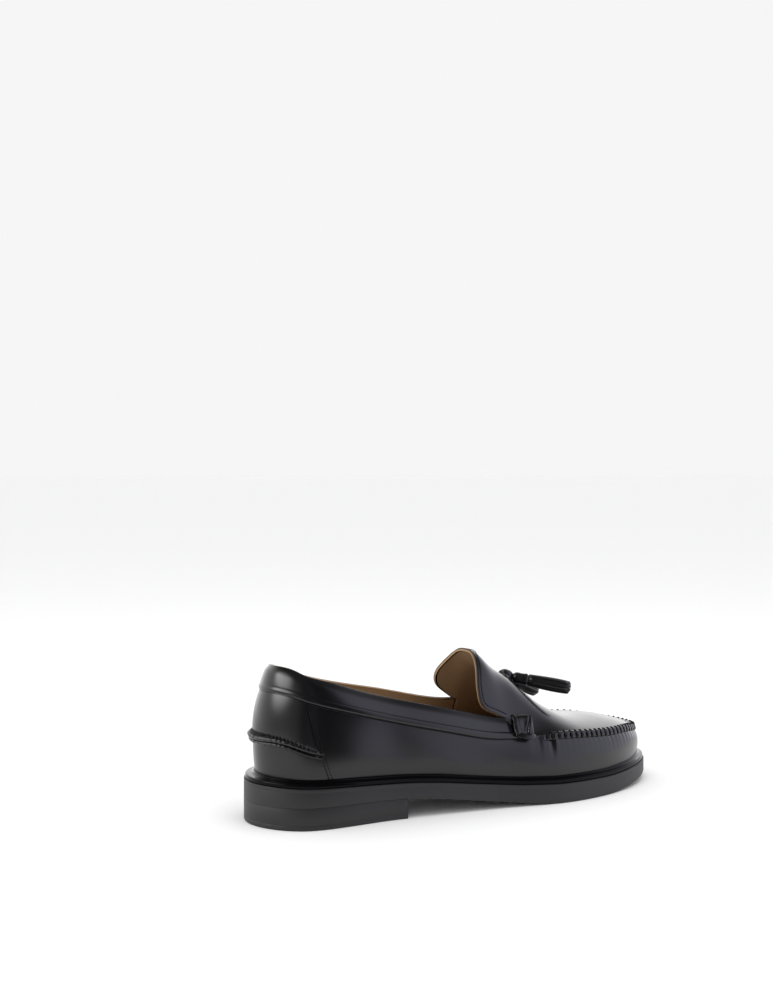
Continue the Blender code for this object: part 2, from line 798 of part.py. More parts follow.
def tassel(name, side, fall):
    """A cap and a skirt of strips, one solid: the strips part more and more towards the end."""
    along = np.array(fall) / np.linalg.norm(fall)
    across = np.cross((0, 0, 1), along)
    across /= np.linalg.norm(across)
    up = np.cross(along, across)
    middle, _, _ = knot_place()
    start = middle + along * (0.62 * KNOT_WIDTH) + across * (0.22 * KNOT_WIDTH * side)
    points = []
    count = 4 * TASSEL_STRIPS
    for part, radius, parting in TASSEL_RINGS:
        for i in range(count):
            turn = 2 * math.pi * i / count
            strip_end = 0.03 * math.sin(2.4 * (i // 4)) if part == 1 else 0
            out = TASSEL_RADIUS * radius * (1 - (parting if i % 4 == 0 else 0))
            away = across * math.cos(turn) + up * math.sin(turn)
            points.append(start + along * (part + strip_end) * TASSEL_LENGTH + away * out)
    faces = []
    for i in range(len(TASSEL_RINGS) - 1):
        faces += between(i * count, (i + 1) * count)(count)
    last = len(points)
    points += [start, start + along * TASSEL_LENGTH * 0.97]
    for i in range(count):
        faces.append([last, (i + 1) % count, i])
        low = last - count
        faces.append([last + 1, low + i, low + (i + 1) % count])
    return solid(name, points, faces)


def upper():
    """The upper, one hollow leather wall from the foot line to the collar and the tongue's edge."""
    return walled("upper", upper_surface(), WALL)


def paint(piece, colour, roughness):
    material = bpy.data.materials.new(piece.name)
    material.use_nodes = True
    shader = material.node_tree.nodes["Principled BSDF"]
    shader.inputs["Base Color"].default_value = (*colour, 1)
    shader.inputs["Roughness"].default_value = roughness
    shader.inputs["Metallic"].default_value = 0
    material.diffuse_color = (*colour, 1)
    piece.data.materials.append(material)


def build():
    for thing in list(bpy.data.objects):
        bpy.data.objects.remove(thing)
    shoe = bpy.data.collections.new("tassel_loafer")
    bpy.context.scene.collection.children.link(shoe)
    cutters = bpy.data.collections.new("cutters")
    cutters.hide_render = True
    bpy.context.scene.collection.children.link(cutters)
    shell = upper()
    outside = BVHTree.FromPolygons(
        [corner.co for corner in shell.data.vertices],
        [face.vertices for face in shell.data.polygons],
    )
    painted = (
        (outsole(), SOLE_GREY, 0.6),
        (heel_block(), SOLE_GREY, 0.6),
        (welt(), POLISHED_BLACK, 0.2),
        (insole(), LINING_BROWN, 0.7),
        (shell, POLISHED_BLACK, 0.2),
        (tab("tab_lateral", LATERAL, outside), POLISHED_BLACK, 0.25),
        (tab("tab_medial", MEDIAL, outside), POLISHED_BLACK, 0.25),
        (lace_knot(), POLISHED_BLACK, 0.25),
        (tassel("tassel_lateral", LATERAL, LATERAL_FALL), POLISHED_BLACK, 0.35),
        (tassel("tassel_medial", MEDIAL, MEDIAL_FALL), POLISHED_BLACK, 0.35),
    )
    for piece, colour, roughness in painted:
        shoe.objects.link(piece)
        paint(piece, colour, roughness)


build()
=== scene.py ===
"""Looks of a tassel loafer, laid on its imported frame: leather, lining, sole, seams, lace and tassels.

Metres, +Z up, toe towards +X, the foot's inner (medial) side towards +Y. The shapes follow the same
named sizes and sections as the solids, only more finely.
"""

import math

import bmesh
import bpy
import numpy as np
from bpy.props import FloatProperty, FloatVectorProperty, IntProperty, PointerProperty
from mathutils import Matrix, Vector


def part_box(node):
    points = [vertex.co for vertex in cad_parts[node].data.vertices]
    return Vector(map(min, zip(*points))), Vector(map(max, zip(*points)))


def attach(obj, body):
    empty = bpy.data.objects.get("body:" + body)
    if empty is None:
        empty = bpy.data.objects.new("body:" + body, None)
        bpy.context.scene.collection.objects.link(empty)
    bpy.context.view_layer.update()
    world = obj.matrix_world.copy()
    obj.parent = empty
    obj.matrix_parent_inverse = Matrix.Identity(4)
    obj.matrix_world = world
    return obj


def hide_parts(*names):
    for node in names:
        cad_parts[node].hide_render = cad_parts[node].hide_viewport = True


bl_info = {
    "name": "Tassel Loafer",
    "version": (1, 0, 0),
    "blender": (4, 5, 0),
    "location": "View3D > Sidebar > Loafer",
    "description": "Builds the visible pieces of a black tassel loafer on its packed frame",
    "category": "Object",
}

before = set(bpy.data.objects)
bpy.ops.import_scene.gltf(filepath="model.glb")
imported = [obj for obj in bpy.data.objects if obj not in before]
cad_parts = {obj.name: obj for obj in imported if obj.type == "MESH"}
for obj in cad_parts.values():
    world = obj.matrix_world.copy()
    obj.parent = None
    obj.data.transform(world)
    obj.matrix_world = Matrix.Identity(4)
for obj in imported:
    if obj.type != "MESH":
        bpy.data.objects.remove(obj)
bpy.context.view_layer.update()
MM = 0.001


def extent(node, axis):
    low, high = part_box(node)
    return high[axis] - low[axis]


# Main sizes
SOLE_LENGTH = extent("outsole", 0)
BALL_WIDTH = 104.5 * MM
HEEL_LENGTH = 86.3 * MM
HEEL_HEIGHT = 13.2 * MM
SOLE_THICKNESS = 10 * MM
COLLAR_HEIGHT = 92.4 * MM
TONGUE_HEIGHT = 96 * MM
WELT_SHELF = 5.5 * MM
WELT_RISE = 4.4 * MM
WALL = 2.2 * MM
INSOLE_THICKNESS = 3 * MM
TAB_WIDTH = 13 * MM
TAB_HEIGHT = 14 * MM
TAB_THICKNESS = 3.6 * MM
LACE_WIDTH = 4 * MM
LACE_THICKNESS = 1.8 * MM
KNOT_WIDTH = 7 * MM
TASSEL_LENGTH = 38 * MM
TASSEL_RADIUS = 4.2 * MM
TONGUE_REACH = 18.5 * MM
GAP = 0.3 * MM
CLEAR = 1.0 * MM
BAND_STEP = 1.2 * MM
COUNTER_STEP = 0.5 * MM

HALF = SOLE_LENGTH / 2
LATERAL, MEDIAL = -1, 1

# The sole's outline: share of the length from the heel, share of half the ball width, medial positive
HEEL_BACK = (0.0, 0.058)
TOE_TIP = (1.0, 0.168)
LATERAL_EDGE = (
    (0.02, -0.340), (0.06, -0.570), (0.14, -0.660), (0.26, -0.662), (0.37, -0.742), (0.52, -0.86),
    (0.65, -1.0), (0.77, -0.94), (0.88, -0.724), (0.955, -0.422), (0.99, -0.151),
)
MEDIAL_EDGE = (
    (0.985, 0.60), (0.93, 0.831), (0.84, 0.965), (0.72, 1.0), (0.60, 0.91), (0.48, 0.70), (0.37, 0.614),
    (0.26, 0.672), (0.14, 0.745), (0.06, 0.662), (0.02, 0.420),
)

# Share of the length, underside as a share of the heel's height, thickness as a share of the sole's
SOLE_PROFILE = (
    (0.00, 1.00, 1.16), (0.14, 0.98, 1.04), (0.27, 0.92, 0.94), (0.36, 0.74, 1.00), (0.45, 0.47, 1.04),
    (0.54, 0.21, 1.10), (0.61, 0.04, 1.20), (0.65, 0.00, 1.21), (0.77, 0.00, 1.18), (0.88, 0.18, 1.05),
    (1.00, 0.41, 0.85),
)

# Share of the length; insets from the sole's edge, as shares of the welt's shelf, of the foot line,
# the fullest place and the seam; height of the seam as a share of the collar's
WALL_SECTIONS = (
    (0.00, 1.25, 0.98, 1.90, 0.846),
    (0.05, 1.15, 0.90, 1.60, 0.816),
    (0.12, 1.00, 0.74, 1.05, 0.758),
    (0.20, 1.00, 0.64, 0.66, 0.689),
    (0.30, 1.00, 0.60, 0.52, 0.605),
    (0.40, 1.00, 0.62, 0.58, 0.530),
    (0.50, 1.00, 0.72, 0.98, 0.462),
    (0.58, 1.00, 0.80, 1.42, 0.452),
    (0.66, 1.00, 0.84, 1.62, 0.452),
    (0.75, 0.96, 0.82, 1.70, 0.434),
    (0.84, 0.88, 0.78, 1.66, 0.416),
    (0.92, 0.84, 0.76, 1.54, 0.400),
    (1.00, 0.82, 0.76, 1.36, 0.368),
)

# Share of the length; inset of the collar's edge as a share of the welt's shelf; its height on the
# lateral and on the medial side as shares of the collar's
COLLAR_SECTIONS = (
    (0.00, 2.85, 1.000, 1.000),
    (0.05, 2.60, 0.966, 0.968),
    (0.12, 2.15, 0.915, 0.920),
    (0.20, 1.70, 0.837, 0.852),
    (0.30, 1.48, 0.748, 0.782),
    (0.40, 1.50, 0.675, 0.722),
    (0.50, 1.85, 0.604, 0.676),
    (0.58, 2.20, 0.562, 0.655),
    (0.66, 2.40, 0.550, 0.645),
    (0.75, 2.40, 0.550, 0.645),
)

# The ridge over the instep: share of the length, height as a share of the tongue's
RIDGE = (
    (0.495, 0.993), (0.515, 0.974), (0.535, 0.918), (0.556, 0.864), (0.583, 0.812), (0.615, 0.740),
    (0.665, 0.621), (0.693, 0.572), (0.726, 0.526), (0.766, 0.490), (0.833, 0.460), (0.900, 0.430),
    (0.947, 0.393), (0.975, 0.368),
)

CAMERA_PLACE = (-0.5272, -0.7672, 0.2091)
CAMERA_RIGHT = (0.85169706, -0.52403445, 0.0)
CAMERA_UP = (0.01140251, 0.01853215, 0.99976324)
CAMERA_AHEAD = (0.52391039, 0.85149542, -0.02175909)
CAMERA_LENS = 52.602

# The tassels: name, side of the knot, and the way they run from it
TASSELS = (
    ("tassel_lateral", LATERAL, (0.852, -0.488, -0.19)),
    ("tassel_medial", MEDIAL, (0.86, 0.36, -0.34)),
)

BELLY_SHARE = 0.45
RIDGE_CLIMB = 0.095
RIDGE_ROW = 0.40
THROAT_SHARE = 0.537
ARCH_CROWDING = 1.4
LATERAL_THROAT = 0.352
MEDIAL_THROAT = 0.415
# How far the tongue's edge lies behind the throat: share of the way from the collar to the ridge,
# then shares of the tongue's reach on the lateral and on the medial side
TONGUE_EDGE = (
    (0.00, 0.00, 0.00), (0.02, 0.31, 0.30), (0.06, 0.76, 0.62), (0.11, 0.95, 0.84), (0.17, 1.00, 0.95),
    (0.22, 0.99, 0.98), (0.28, 0.97, 0.95), (0.37, 0.89, 0.80), (0.49, 0.78, 0.63), (0.66, 0.68, 0.54),
    (0.83, 0.60, 0.54), (1.00, 0.57, 0.57),
)
TAB_SHARE = 0.561
TAB_TILT = math.radians(25)
KNOT_SHARE = 0.607
LACE_REACH = 0.16
LACE_SET = 0.42
STITCHED_FROM = 0.605
COUNTER_FRONT = 0.069
COUNTER_SLANT = 0.055
COLLAR_LEAD = 0.22

FINE_STATIONS = 330
COARSE_STATIONS = 110

# The deep folds beside the tab: share of the length, depth and half width in millimetres
SIDE_FOLDS = ((0.588, 0.5, 2.2), (0.600, 0.95, 1.8), (0.613, 0.75, 1.7), (0.628, 1.6, 1.9))
SIDE_FOLD_REACH = 9 * MM

# Sections in millimetres: across (down the side is positive) and out
SEAM_SECTION = (
    (-2.7, -2.4), (-2.0, -0.2), (-1.3, 1.15), (-0.6, 1.65), (0.1, 1.75), (0.7, 1.55), (1.5, 1.35),
    (2.3, 1.2), (3.0, 0.75), (3.5, -0.4),
)
SEAM_SLOT = 0.7 * MM
STITCH_SECTION = (
    (3.5, -0.2), (2.9, 0.65), (2.1, 0.95), (1.2, 1.15), (0.3, 1.5), (-0.6, 1.85), (-1.5, 1.35),
    (-2.1, 0.2),
)
BAND_SECTION = (
    (-3.8, 0.9), (-3.1, 1.46), (-2.2, 1.56), (-1.2, 1.68), (-0.4, 1.6), (0.25, 1.25), (0.55, 0.7),
    (0.45, -0.8),
)
PIPING_SECTION = ((-1.5, -1.5), (-1.35, 0.2), (-0.8, 0.9), (0.0, 1.2), (0.8, 0.9), (1.35, 0.2), (1.5, -1.5))
GATHER_SECTION = ((-3.6, 0.0), (-2.76, 0.75), (-1.92, 1.7), (-1.08, 2.7), (-0.24, 3.1), (0.6, 2.2))
GATHER_PITCH = 2.3 * MM

# The heel's two rolls of piping: shift down and height in millimetres, and size
PIPING_ROLLS = (("heel_piping_upper", -0.25, 3.0, 1.0), ("heel_piping_lower", 2.4, 2.4, 0.8))
PIPING_END = 0.108
GATHERS_END = 0.104

# The tab's fold and its lip: along the shoe, up it and out of it, in shares of its size
TAB_FOLD = (
    (-0.46, 0.50, -0.2), (-0.44, 0.36, 0.25), (-0.40, 0.05, 0.42), (-0.34, -0.26, 0.30), (-0.22, -0.42, 0.0),
)
TAB_LIP = (
    (-0.42, -0.34, 0.0), (-0.2, -0.46, 0.3), (0.1, -0.54, 0.4), (0.34, -0.54, 0.25), (0.46, -0.44, -0.1),
)

# The knot's windings: width, thickness and places along, across and out, in shares of the knot's width
KNOT_WINDINGS = (
    ("knot_core", 1.0, 0.62, ((-0.42, -0.10, -0.06), (-0.2, 0.0, 0.16), (0.1, 0.06, 0.2), (0.42, 0.0, 0.0))),
    ("knot_wrap_rear", 0.40, 0.2,
     ((-0.02, -0.52, -0.22), (-0.12, -0.40, 0.22), (-0.1, 0.0, 0.46), (0.0, 0.40, 0.24), (0.08, 0.52, -0.2))),
    ("knot_wrap_front", 0.36, 0.2,
     ((0.26, -0.5, -0.24), (0.16, -0.38, 0.18), (0.16, 0.0, 0.40), (0.26, 0.36, 0.2), (0.34, 0.5, -0.2))),
    ("knot_loop", 0.34, 0.18,
     ((-0.36, -0.55, -0.42), (-0.55, -0.42, 0.0), (-0.5, -0.1, 0.30), (-0.46, 0.2, 0.28), (-0.5, 0.46, 0.0),
      (-0.34, 0.56, -0.38))),
)

# A tassel's cap: share of the tassel's length, share of its radius
CAP_RINGS = (
    (-0.02, 0.30), (0.0, 0.62), (0.04, 0.84), (0.08, 0.87), (0.12, 0.84), (0.19, 0.88), (0.215, 0.95),
    (0.235, 0.90), (0.245, 0.77), (0.262, 0.76), (0.28, 0.84), (0.32, 0.86), (0.34, 0.80), (0.36, 0.3),
)
# Its hidden layers of strips: how many, radius under the cap and at the end, overlap
INNER_STRIPS = ((9, 0.42, 0.50, 1.2), (15, 0.68, 0.78, 1.2))
STRIP_SECTION = (
    (-0.5, -0.4), (-0.5, 0.4), (-0.3, 0.5), (0.3, 0.5), (0.5, 0.4), (0.5, -0.4), (0.3, -0.5), (-0.3, -0.5),
)
SKIRT_START = 0.27

# The heel block's layers: inset and height in millimetres, share of the block's height to add
HEEL_LAYERS = (
    (0.8, 0.0, 0), (0.25, 0.12, 0), (0.0, 0.7, 0), (0.0, 0, 0.22), (0.1, 0, 0.235), (0.0, 0, 0.25),
    (0.0, 0, 0.985), (0.12, 0, 1.0),
)

# The welt's section: share of the way in to the upper, extra inset in millimetres, share of its rise
WELT_SECTION = (
    (0.0, 0.35, 0.0), (0.0, 0.05, 0.07), (0.0, 0, 0.28), (0.0, 0.05, 0.46), (0.03, 0.1, 0.54),
    (0.10, 0, 0.60), (0.22, 0, 0.625), (0.55, 0, 0.635), (0.72, 0, 0.66), (0.86, 0, 0.74),
    (0.95, 0, 0.86), (1.0, 0, 1.0), (1.06, 0, 1.0),
)

# The studio as the leather sees it: degrees about +Z from +X, brightness, share of the cool tint
STUDIO_ROUND = (
    (-180, 0.55, 0.0), (-150, 0.35, 0.0), (-122, 0.03, 0.5), (-94, 0.12, 1.0), (-74, 0.9, 1.0),
    (-60, 1.2, 1.0), (-42, 1.3, 1.0), (-10, 1.1, 0.8), (50, 1.9, 0.0), (110, 1.6, 0.0),
    (180, 0.55, 0.0),
)
COOL_TINT = (-0.06, -0.08, 0.14)
CEILING_RISE = (0.45, 0.8)
HEEL_GLOW = 11.0
HEEL_GLOW_WAY = (-0.817, 0.144, 0.559)
HEEL_GLOW_SPREAD = (0.91, 0.985)
NEAR_FLOOR = 0.8
CARD_TOP = 0.4
SOFTBOX_PLACE = (-0.15, -0.25, 1.5)
SOFTBOX_SIZE = (1.3, 0.9)


def spline(keys, values, period=None):
    """A cubic through the values: closed where it has a period, else with free ends."""
    keys = np.asarray(keys, float)
    values = np.asarray(values, float).reshape(len(keys), -1)
    if period is not None:
        keys = np.append(keys, keys[0] + period)
        values = np.vstack((values, values[:1]))
    steps = np.diff(keys)
    slopes = np.diff(values, axis=0) / steps[:, None]
    last = len(steps)
    matrix = np.eye(last + 1)
    target = np.zeros_like(values)
    for i in range(1, last):
        matrix[i, i - 1 : i + 2] = steps[i - 1], 2 * (steps[i - 1] + steps[i]), steps[i]
        target[i] = 6 * (slopes[i] - slopes[i - 1])
    if period is not None:
        matrix[0, [last - 1, 0, 1]] = steps[-1], 2 * (steps[-1] + steps[0]), steps[0]
        target[0] = 6 * (slopes[0] - slopes[-1])
        matrix[last, 0] = -1
    bends = np.linalg.solve(matrix, target)

    def at(where):
        where = np.atleast_1d(np.asarray(where, float))
        if period is not None:
            where = keys[0] + (where - keys[0]) % period
        i = np.clip(np.searchsorted(keys, where, side="right") - 1, 0, last - 1)
        step = steps[i][:, None]
        a = (keys[i + 1] - where)[:, None] / step
        b = 1 - a
        bend = (a**3 - a) * bends[i] + (b**3 - b) * bends[i + 1]
        return a * values[i] + b * values[i + 1] + bend * step * step / 6

    return at


def table(rows):
    rows = np.array(rows)
    return spline(rows[:, 0], rows[:, 1:])


def mirrored(rows):
    """A table of sections, run round the heel's back and the toe so that it is smooth there."""
    rows = np.array(rows)
    back, front = rows[3:0:-1].copy(), rows[-2:-5:-1].copy()
    back[:, 0] *= -1
    front[:, 0] = 2 * rows[-1, 0] - front[:, 0]
    return table(np.vstack((back, rows, front)))


def steady(rows):
    """The rows as a curve that never swings past them, for a sole that stays flat where it is flat."""
    rows = np.array(rows)
    keys, values = rows[:, 0], rows[:, 1:]
    steps = np.diff(keys)[:, None]
    slopes = np.diff(values, axis=0) / steps
    tangents = np.zeros_like(values)
    turning = slopes[:-1] * slopes[1:] > 0
    safe = np.where(turning, slopes[:-1] + slopes[1:], 1)
    tangents[1:-1] = np.where(turning, 2 * slopes[:-1] * slopes[1:] / safe, 0)
    tangents[0], tangents[-1] = slopes[0], slopes[-1]

    def at(where):
        where = np.clip(np.atleast_1d(np.asarray(where, float)), keys[0], keys[-1])
        i = np.clip(np.searchsorted(keys, where, side="right") - 1, 0, len(keys) - 2)
        step = steps[i]
        t = ((where - keys[i]) / step[:, 0])[:, None]
        rise = values[i + 1] - values[i]
        start, end = tangents[i] * step, tangents[i + 1] * step
        return values[i] + t * (start + t * (3 * rise - 2 * start - end + t * (start + end - 2 * rise)))

    return at


def outline_curve():
    """The sole's edge as a closed curve, and its middle, which is the origin."""
    points = np.array((HEEL_BACK,) + LATERAL_EDGE + (TOE_TIP,) + MEDIAL_EDGE)
    points *= (SOLE_LENGTH, BALL_WIDTH / 2)
    around = np.vstack((points, points[:1]))
    lengths = np.append(0, np.cumsum(np.hypot(*np.diff(around, axis=0).T)))
    curve = spline(lengths[:-1], points, lengths[-1])
    dense = np.linspace(0, lengths[-1], 4001)
    there = curve(dense)
    middle = (there.min(axis=0) + there.max(axis=0)) / 2
    heel, toe = np.argmin(there[:2000, 0]), np.argmax(there[:, 0])
    ways = {
        LATERAL: (there[heel : toe + 1, 0], dense[heel : toe + 1]),
        MEDIAL: (there[toe:, 0][::-1], dense[toe:][::-1]),
    }
    return curve, middle, ways


OUTLINE, MIDDLE, WAYS = outline_curve()
wall_at = mirrored(WALL_SECTIONS)
collar_at = mirrored(COLLAR_SECTIONS)
ridge_at = table(RIDGE)
sole_at = steady(SOLE_PROFILE)
tongue_edge_at = steady(TONGUE_EDGE)


def edge(share, side):
    """Points on the sole's edge at these shares of its length, and the way out from each, in plan."""
    xs, places = WAYS[side]
    where = np.interp(np.atleast_1d(share) * SOLE_LENGTH, xs, places)
    step = 0.2 * MM
    tangent = OUTLINE(where + step) - OUTLINE(where - step)
    tangent /= np.linalg.norm(tangent, axis=1)[:, None]
    return OUTLINE(where) - MIDDLE, np.stack((tangent[:, 1], -tangent[:, 0]), axis=1)


def share_of(x):
    return (np.asarray(x) + HALF) / SOLE_LENGTH


def sole_underside(x):
    return sole_at(share_of(x))[:, 0] * HEEL_HEIGHT


def sole_top(x):
    return sole_underside(x) + sole_at(share_of(x))[:, 1] * SOLE_THICKNESS


def soft_step(value, start, end):
    t = np.clip((value - start) / (end - start), 0, 1)
    return t * t * (3 - 2 * t)


def steepness(x):
    """0 over the toes, where the vamp is a low dome, and 1 at the tongue, where its sides stand up."""
    return np.clip((0.72 - share_of(x)) / 0.14, 0, 1)


def arch_height(width, steep):
    """Height across a section of the vamp, 0 at the seam and 1 on the ridge."""
    return (1 - np.abs(width) ** (2.2 + 0.8 * steep)) ** (1 + 0.4 * steep)


def ridge_height(x):
    return ridge_at(np.maximum(share_of(x), RIDGE[0][0]))[:, 0] * TONGUE_HEIGHT


def wall_inset(share, row):
    """How far the upper stands inside the sole's edge, at this share of the way up to the seam."""
    foot, belly, seam, _ = wall_at(share).T
    under = np.clip((BELLY_SHARE - row) / BELLY_SHARE, 0, 1)
    over = np.clip((row - BELLY_SHARE) / (1 - BELLY_SHARE), 0, 1)
    return (belly + (foot - belly) * under**2 + (seam - belly) * over**2.3) * WELT_SHELF


def climb(share, row):
    """The wall's rows rise towards the heel's back, where the ridge does."""
    return row + RIDGE_CLIMB * (1 - soft_step(share, 0, 0.13)) * np.sin(math.pi * row)


class Last:
    """The upper's form at one fineness: loops round the shoe and sections across the vamp."""

    def __init__(self, stations, arch_rows, band_rows, tongue_rows, wall_rows):
        self.stations, self.count = stations, 2 * stations
        self.arch_rows, self.band_rows, self.tongue_rows = arch_rows, band_rows, tongue_rows
        self.wall_rows = wall_rows
        self.shares = (1 - np.cos(math.pi * np.arange(stations + 1) / stations)) / 2
        self.throat = int(np.argmax(self.shares >= THROAT_SHARE))
        self.loop_share = np.concatenate((self.shares, self.shares[-2:0:-1]))
        self.loop_side = np.concatenate((np.full(stations + 1, LATERAL), np.full(stations - 1, MEDIAL)))

    def ring(self, inset, height):
        """One loop: from the heel's back by the lateral side to the toe and back."""
        loops = []
        for side in (LATERAL, MEDIAL):
            place, out = edge(self.shares, side)
            plan = place - out * np.atleast_1d(inset(self.shares, side))[:, None]
            loops.append(np.column_stack((plan, height(self.shares, side, plan))))
        return np.vstack((loops[0], loops[1][-2:0:-1]))

    def wall_ring(self, row):
        def height(share, _side, plan):
            foot = sole_top(plan[:, 0]) + GAP
            return foot + climb(share, row) * (wall_at(share)[:, 3] * COLLAR_HEIGHT - foot)

        return self.ring(lambda share, _side: wall_inset(share, climb(share, row)), height)

    def collar_ring(self):
        column = {LATERAL: 1, MEDIAL: 2}
        return self.ring(
            lambda share, _side: collar_at(share)[:, 0] * WELT_SHELF,
            lambda share, side, _plan: collar_at(share)[:, column[side]] * COLLAR_HEIGHT,
        )

    def arch_widths(self, throat):
        turns = np.concatenate((
            np.linspace(0, throat, self.band_rows + 1),
            throat + (1 - throat) * np.linspace(0, 1, self.arch_rows + 1)[1:] ** ARCH_CROWDING,
        ))
        return np.cos(turns * math.pi / 2)

    def arch(self, lateral, medial, pull):
        """One section of the vamp; pull draws it back above the collar, up to the tongue's edge."""
        middle = (lateral + medial) / 2
        steep = steepness(middle[0])
        rows = []
        sides = ((lateral, LATERAL_THROAT, 1, 0), (medial, MEDIAL_THROAT, -1, 1))
        for base, throat, sign, column in sides:
            width = self.arch_widths(throat)
            turns = np.arccos(width) * 2 / math.pi
            above = np.clip((turns - throat) / (1 - throat), 0, 1)
            back = pull * TONGUE_REACH * tongue_edge_at(above)[:, column]
            x = middle[0] + (base[0] - middle[0]) * width - back
            y = middle[1] + (base[1] - middle[1]) * width
            top = ridge_height(middle[0] - back)
            z = base[2] + arch_height(width, steep) * (top - base[2])
            rows.append(np.column_stack((x, y, z))[::sign])
        return np.vstack((rows[0], rows[1][1:]))


class Surface:
    """Points with a lift along their normal, and the faces between them. Equal points are one."""

    def __init__(self):
        self.points, self.lifts, self.faces, self.known = [], [], [], {}

    def point(self, place, lift):
        key = tuple((place / (0.001 * MM)).round().astype(int).tolist())
        if key not in self.known:
            self.known[key] = len(self.points)
            self.points.append(place)
            self.lifts.append(float(lift))
        return self.known[key]

    def strip(self, first, second):
        for i in range(len(first) - 1):
            corners = (first[i], first[i + 1], second[i + 1], second[i])
            kept = [corner for j, corner in enumerate(corners) if corner != corners[j - 1]]
            if len(kept) > 2:
                self.faces.append(kept)

    def row(self, places, lifts):
        return [self.point(place, lift) for place, lift in zip(places, lifts)]

    def normals(self):
        """The way out at every point, from the faces round it."""
        shape = bmesh.new()
        corners = [shape.verts.new(point) for point in self.points]
        for face in self.faces:
            shape.faces.new([corners[i] for i in face])
        bmesh.ops.recalc_face_normals(shape, faces=shape.faces)
        shape.normal_update()
        found = np.array([corner.normal for corner in shape.verts])
        shape.free()
        points = np.array(self.points)
        outward = (found * (points - points.mean(axis=0))).sum()
        return found if outward > 0 else -found


def upper_surface(last, relief=1):
    """The upper's outside at this fineness, and its two open edges: along the collar and the tongue."""
    surface = Surface()
    count, throat = last.count, last.throat
    rings = [last.wall_ring(row) for row in last.wall_rows]
    lifts = [relief * wall_lift(last, row, loop) for row, loop in zip(last.wall_rows, rings)]
    rows = [surface.row(loop, lift) for loop, lift in zip(rings, lifts)]
    for low, high in zip(rows, rows[1:]):
        surface.strip(low + low[:1], high + high[:1])
    seam, seam_row, collar = rings[-1], rows[-1], last.collar_ring()
    sections = {k: last.arch(seam[k], seam[count - k], 0) for k in range(throat, last.stations)}
    at_throat = sections[throat]
    lead = soft_step(share_of(collar[:, 0]), THROAT_SHARE - COLLAR_LEAD, THROAT_SHARE)[:, None]
    for ends, end, foot in ((slice(0, last.stations), throat, at_throat[last.band_rows]),
                            (slice(last.stations, count), count - throat, at_throat[-1 - last.band_rows])):
        collar[ends] += lead[ends] * (foot - collar[end])

    rear = [k % count for k in range(count - throat, count + throat + 1)]
    before = [seam_row[i] for i in rear]
    for row in range(1, last.band_rows + 1):
        rise = row / last.band_rows
        lean = seam + (collar - seam) * rise
        lean[throat] = at_throat[row]
        lean[count - throat] = at_throat[-1 - row]
        after = surface.row(lean[rear], relief * band_lift(last, rise)[rear])
        surface.strip(before, after)
        before = after
    collar_row = before

    def vamp_row(k):
        section = sections[k]
        inner = surface.row(section[1:-1], relief * vamp_lift(last, k, section)[1:-1])
        return [seam_row[k]] + inner + [seam_row[count - k]]

    first = before = vamp_row(throat)
    for k in range(throat + 1, last.stations):
        after = vamp_row(k)
        surface.strip(before, after)
        before = after
    surface.strip(before, [seam_row[last.stations]] * len(before))

    free = slice(last.band_rows, len(at_throat) - last.band_rows)
    before = first[free]
    for step in range(1, last.tongue_rows + 1):
        drawn = last.arch(seam[throat], seam[count - throat], step / last.tongue_rows)[free]
        after = [before[0]] + surface.row(drawn[1:-1], np.zeros(len(drawn) - 2)) + [before[-1]]
        surface.strip(after, before)
        before = after
    return surface, collar_row, before


def counter_front(row):
    """Share of the length where the counter's front seam stands, slanting forward towards the foot."""
    return COUNTER_FRONT + COUNTER_SLANT * (1 - row) ** 1.3


def pucker_wave(lengths, pitch):
    """Uneven gathers along the seam, 0 to 1, one for each stitch."""
    turn = lengths / pitch
    uneven = 0.62 + 0.24 * np.sin(1.7 * turn + 0.6) + 0.14 * np.sin(4.1 * turn)
    return uneven * (0.5 - 0.5 * np.cos(2 * math.pi * turn))


def wall_lift(last, row, loop):
    """Relief of the leather's side: counter patch, gathers under the seam, folds beside the tab."""
    share, front = last.loop_share, counter_front(row)
    shoe = bpy.context.scene.loafer_upper
    below = (1 - row) * (wall_at(share)[:, 3] * COLLAR_HEIGHT - sole_top(loop[:, 0]))
    behind = 1 - soft_step(share, front - 0.004, front + 0.001)
    lift = COUNTER_STEP * behind * soft_step(row, RIDGE_ROW, RIDGE_ROW + 0.03)
    stitched = soft_step(share, STITCHED_FROM - 0.01, STITCHED_FROM + 0.05)
    depth = shoe.gather_depth * stitched * np.exp(-((below / shoe.gather_reach) ** 1.4))
    lift -= depth * pucker_wave(seam_lengths(last), bpy.context.scene.loafer_seams.stitch_pitch)
    for at, deep, half in SIDE_FOLDS:
        away = (share - at) * SOLE_LENGTH / (half * MM)
        crease = np.exp(-(away**2)) - 0.45 * np.exp(-((away - 1.7) ** 2))
        reach = np.exp(-((below / SIDE_FOLD_REACH) ** 2)) * (last.loop_side == LATERAL)
        lift -= deep * MM * crease * reach
    swell = 0.25 * MM * np.sin(share * 31 + row * 5) * np.sin(row * math.pi)
    return lift + swell * soft_step(share, 0.2, 0.35)


def band_height(rise):
    """How far the collar band stands out, from its lower edge (0) up to the opening (1)."""
    step = BAND_STEP * soft_step(rise, 0, 0.12) * (1 - 0.9 * soft_step(rise, 0.75, 1))
    return step + 0.5 * MM * np.sin(math.pi * rise)


def band_hold(share):
    return 1 - soft_step(share, THROAT_SHARE, TAB_SHARE)


def band_lift(last, rise):
    """The collar band stands out from the side, with a padded swell between its seams."""
    return band_height(rise) * band_hold(last.loop_share)


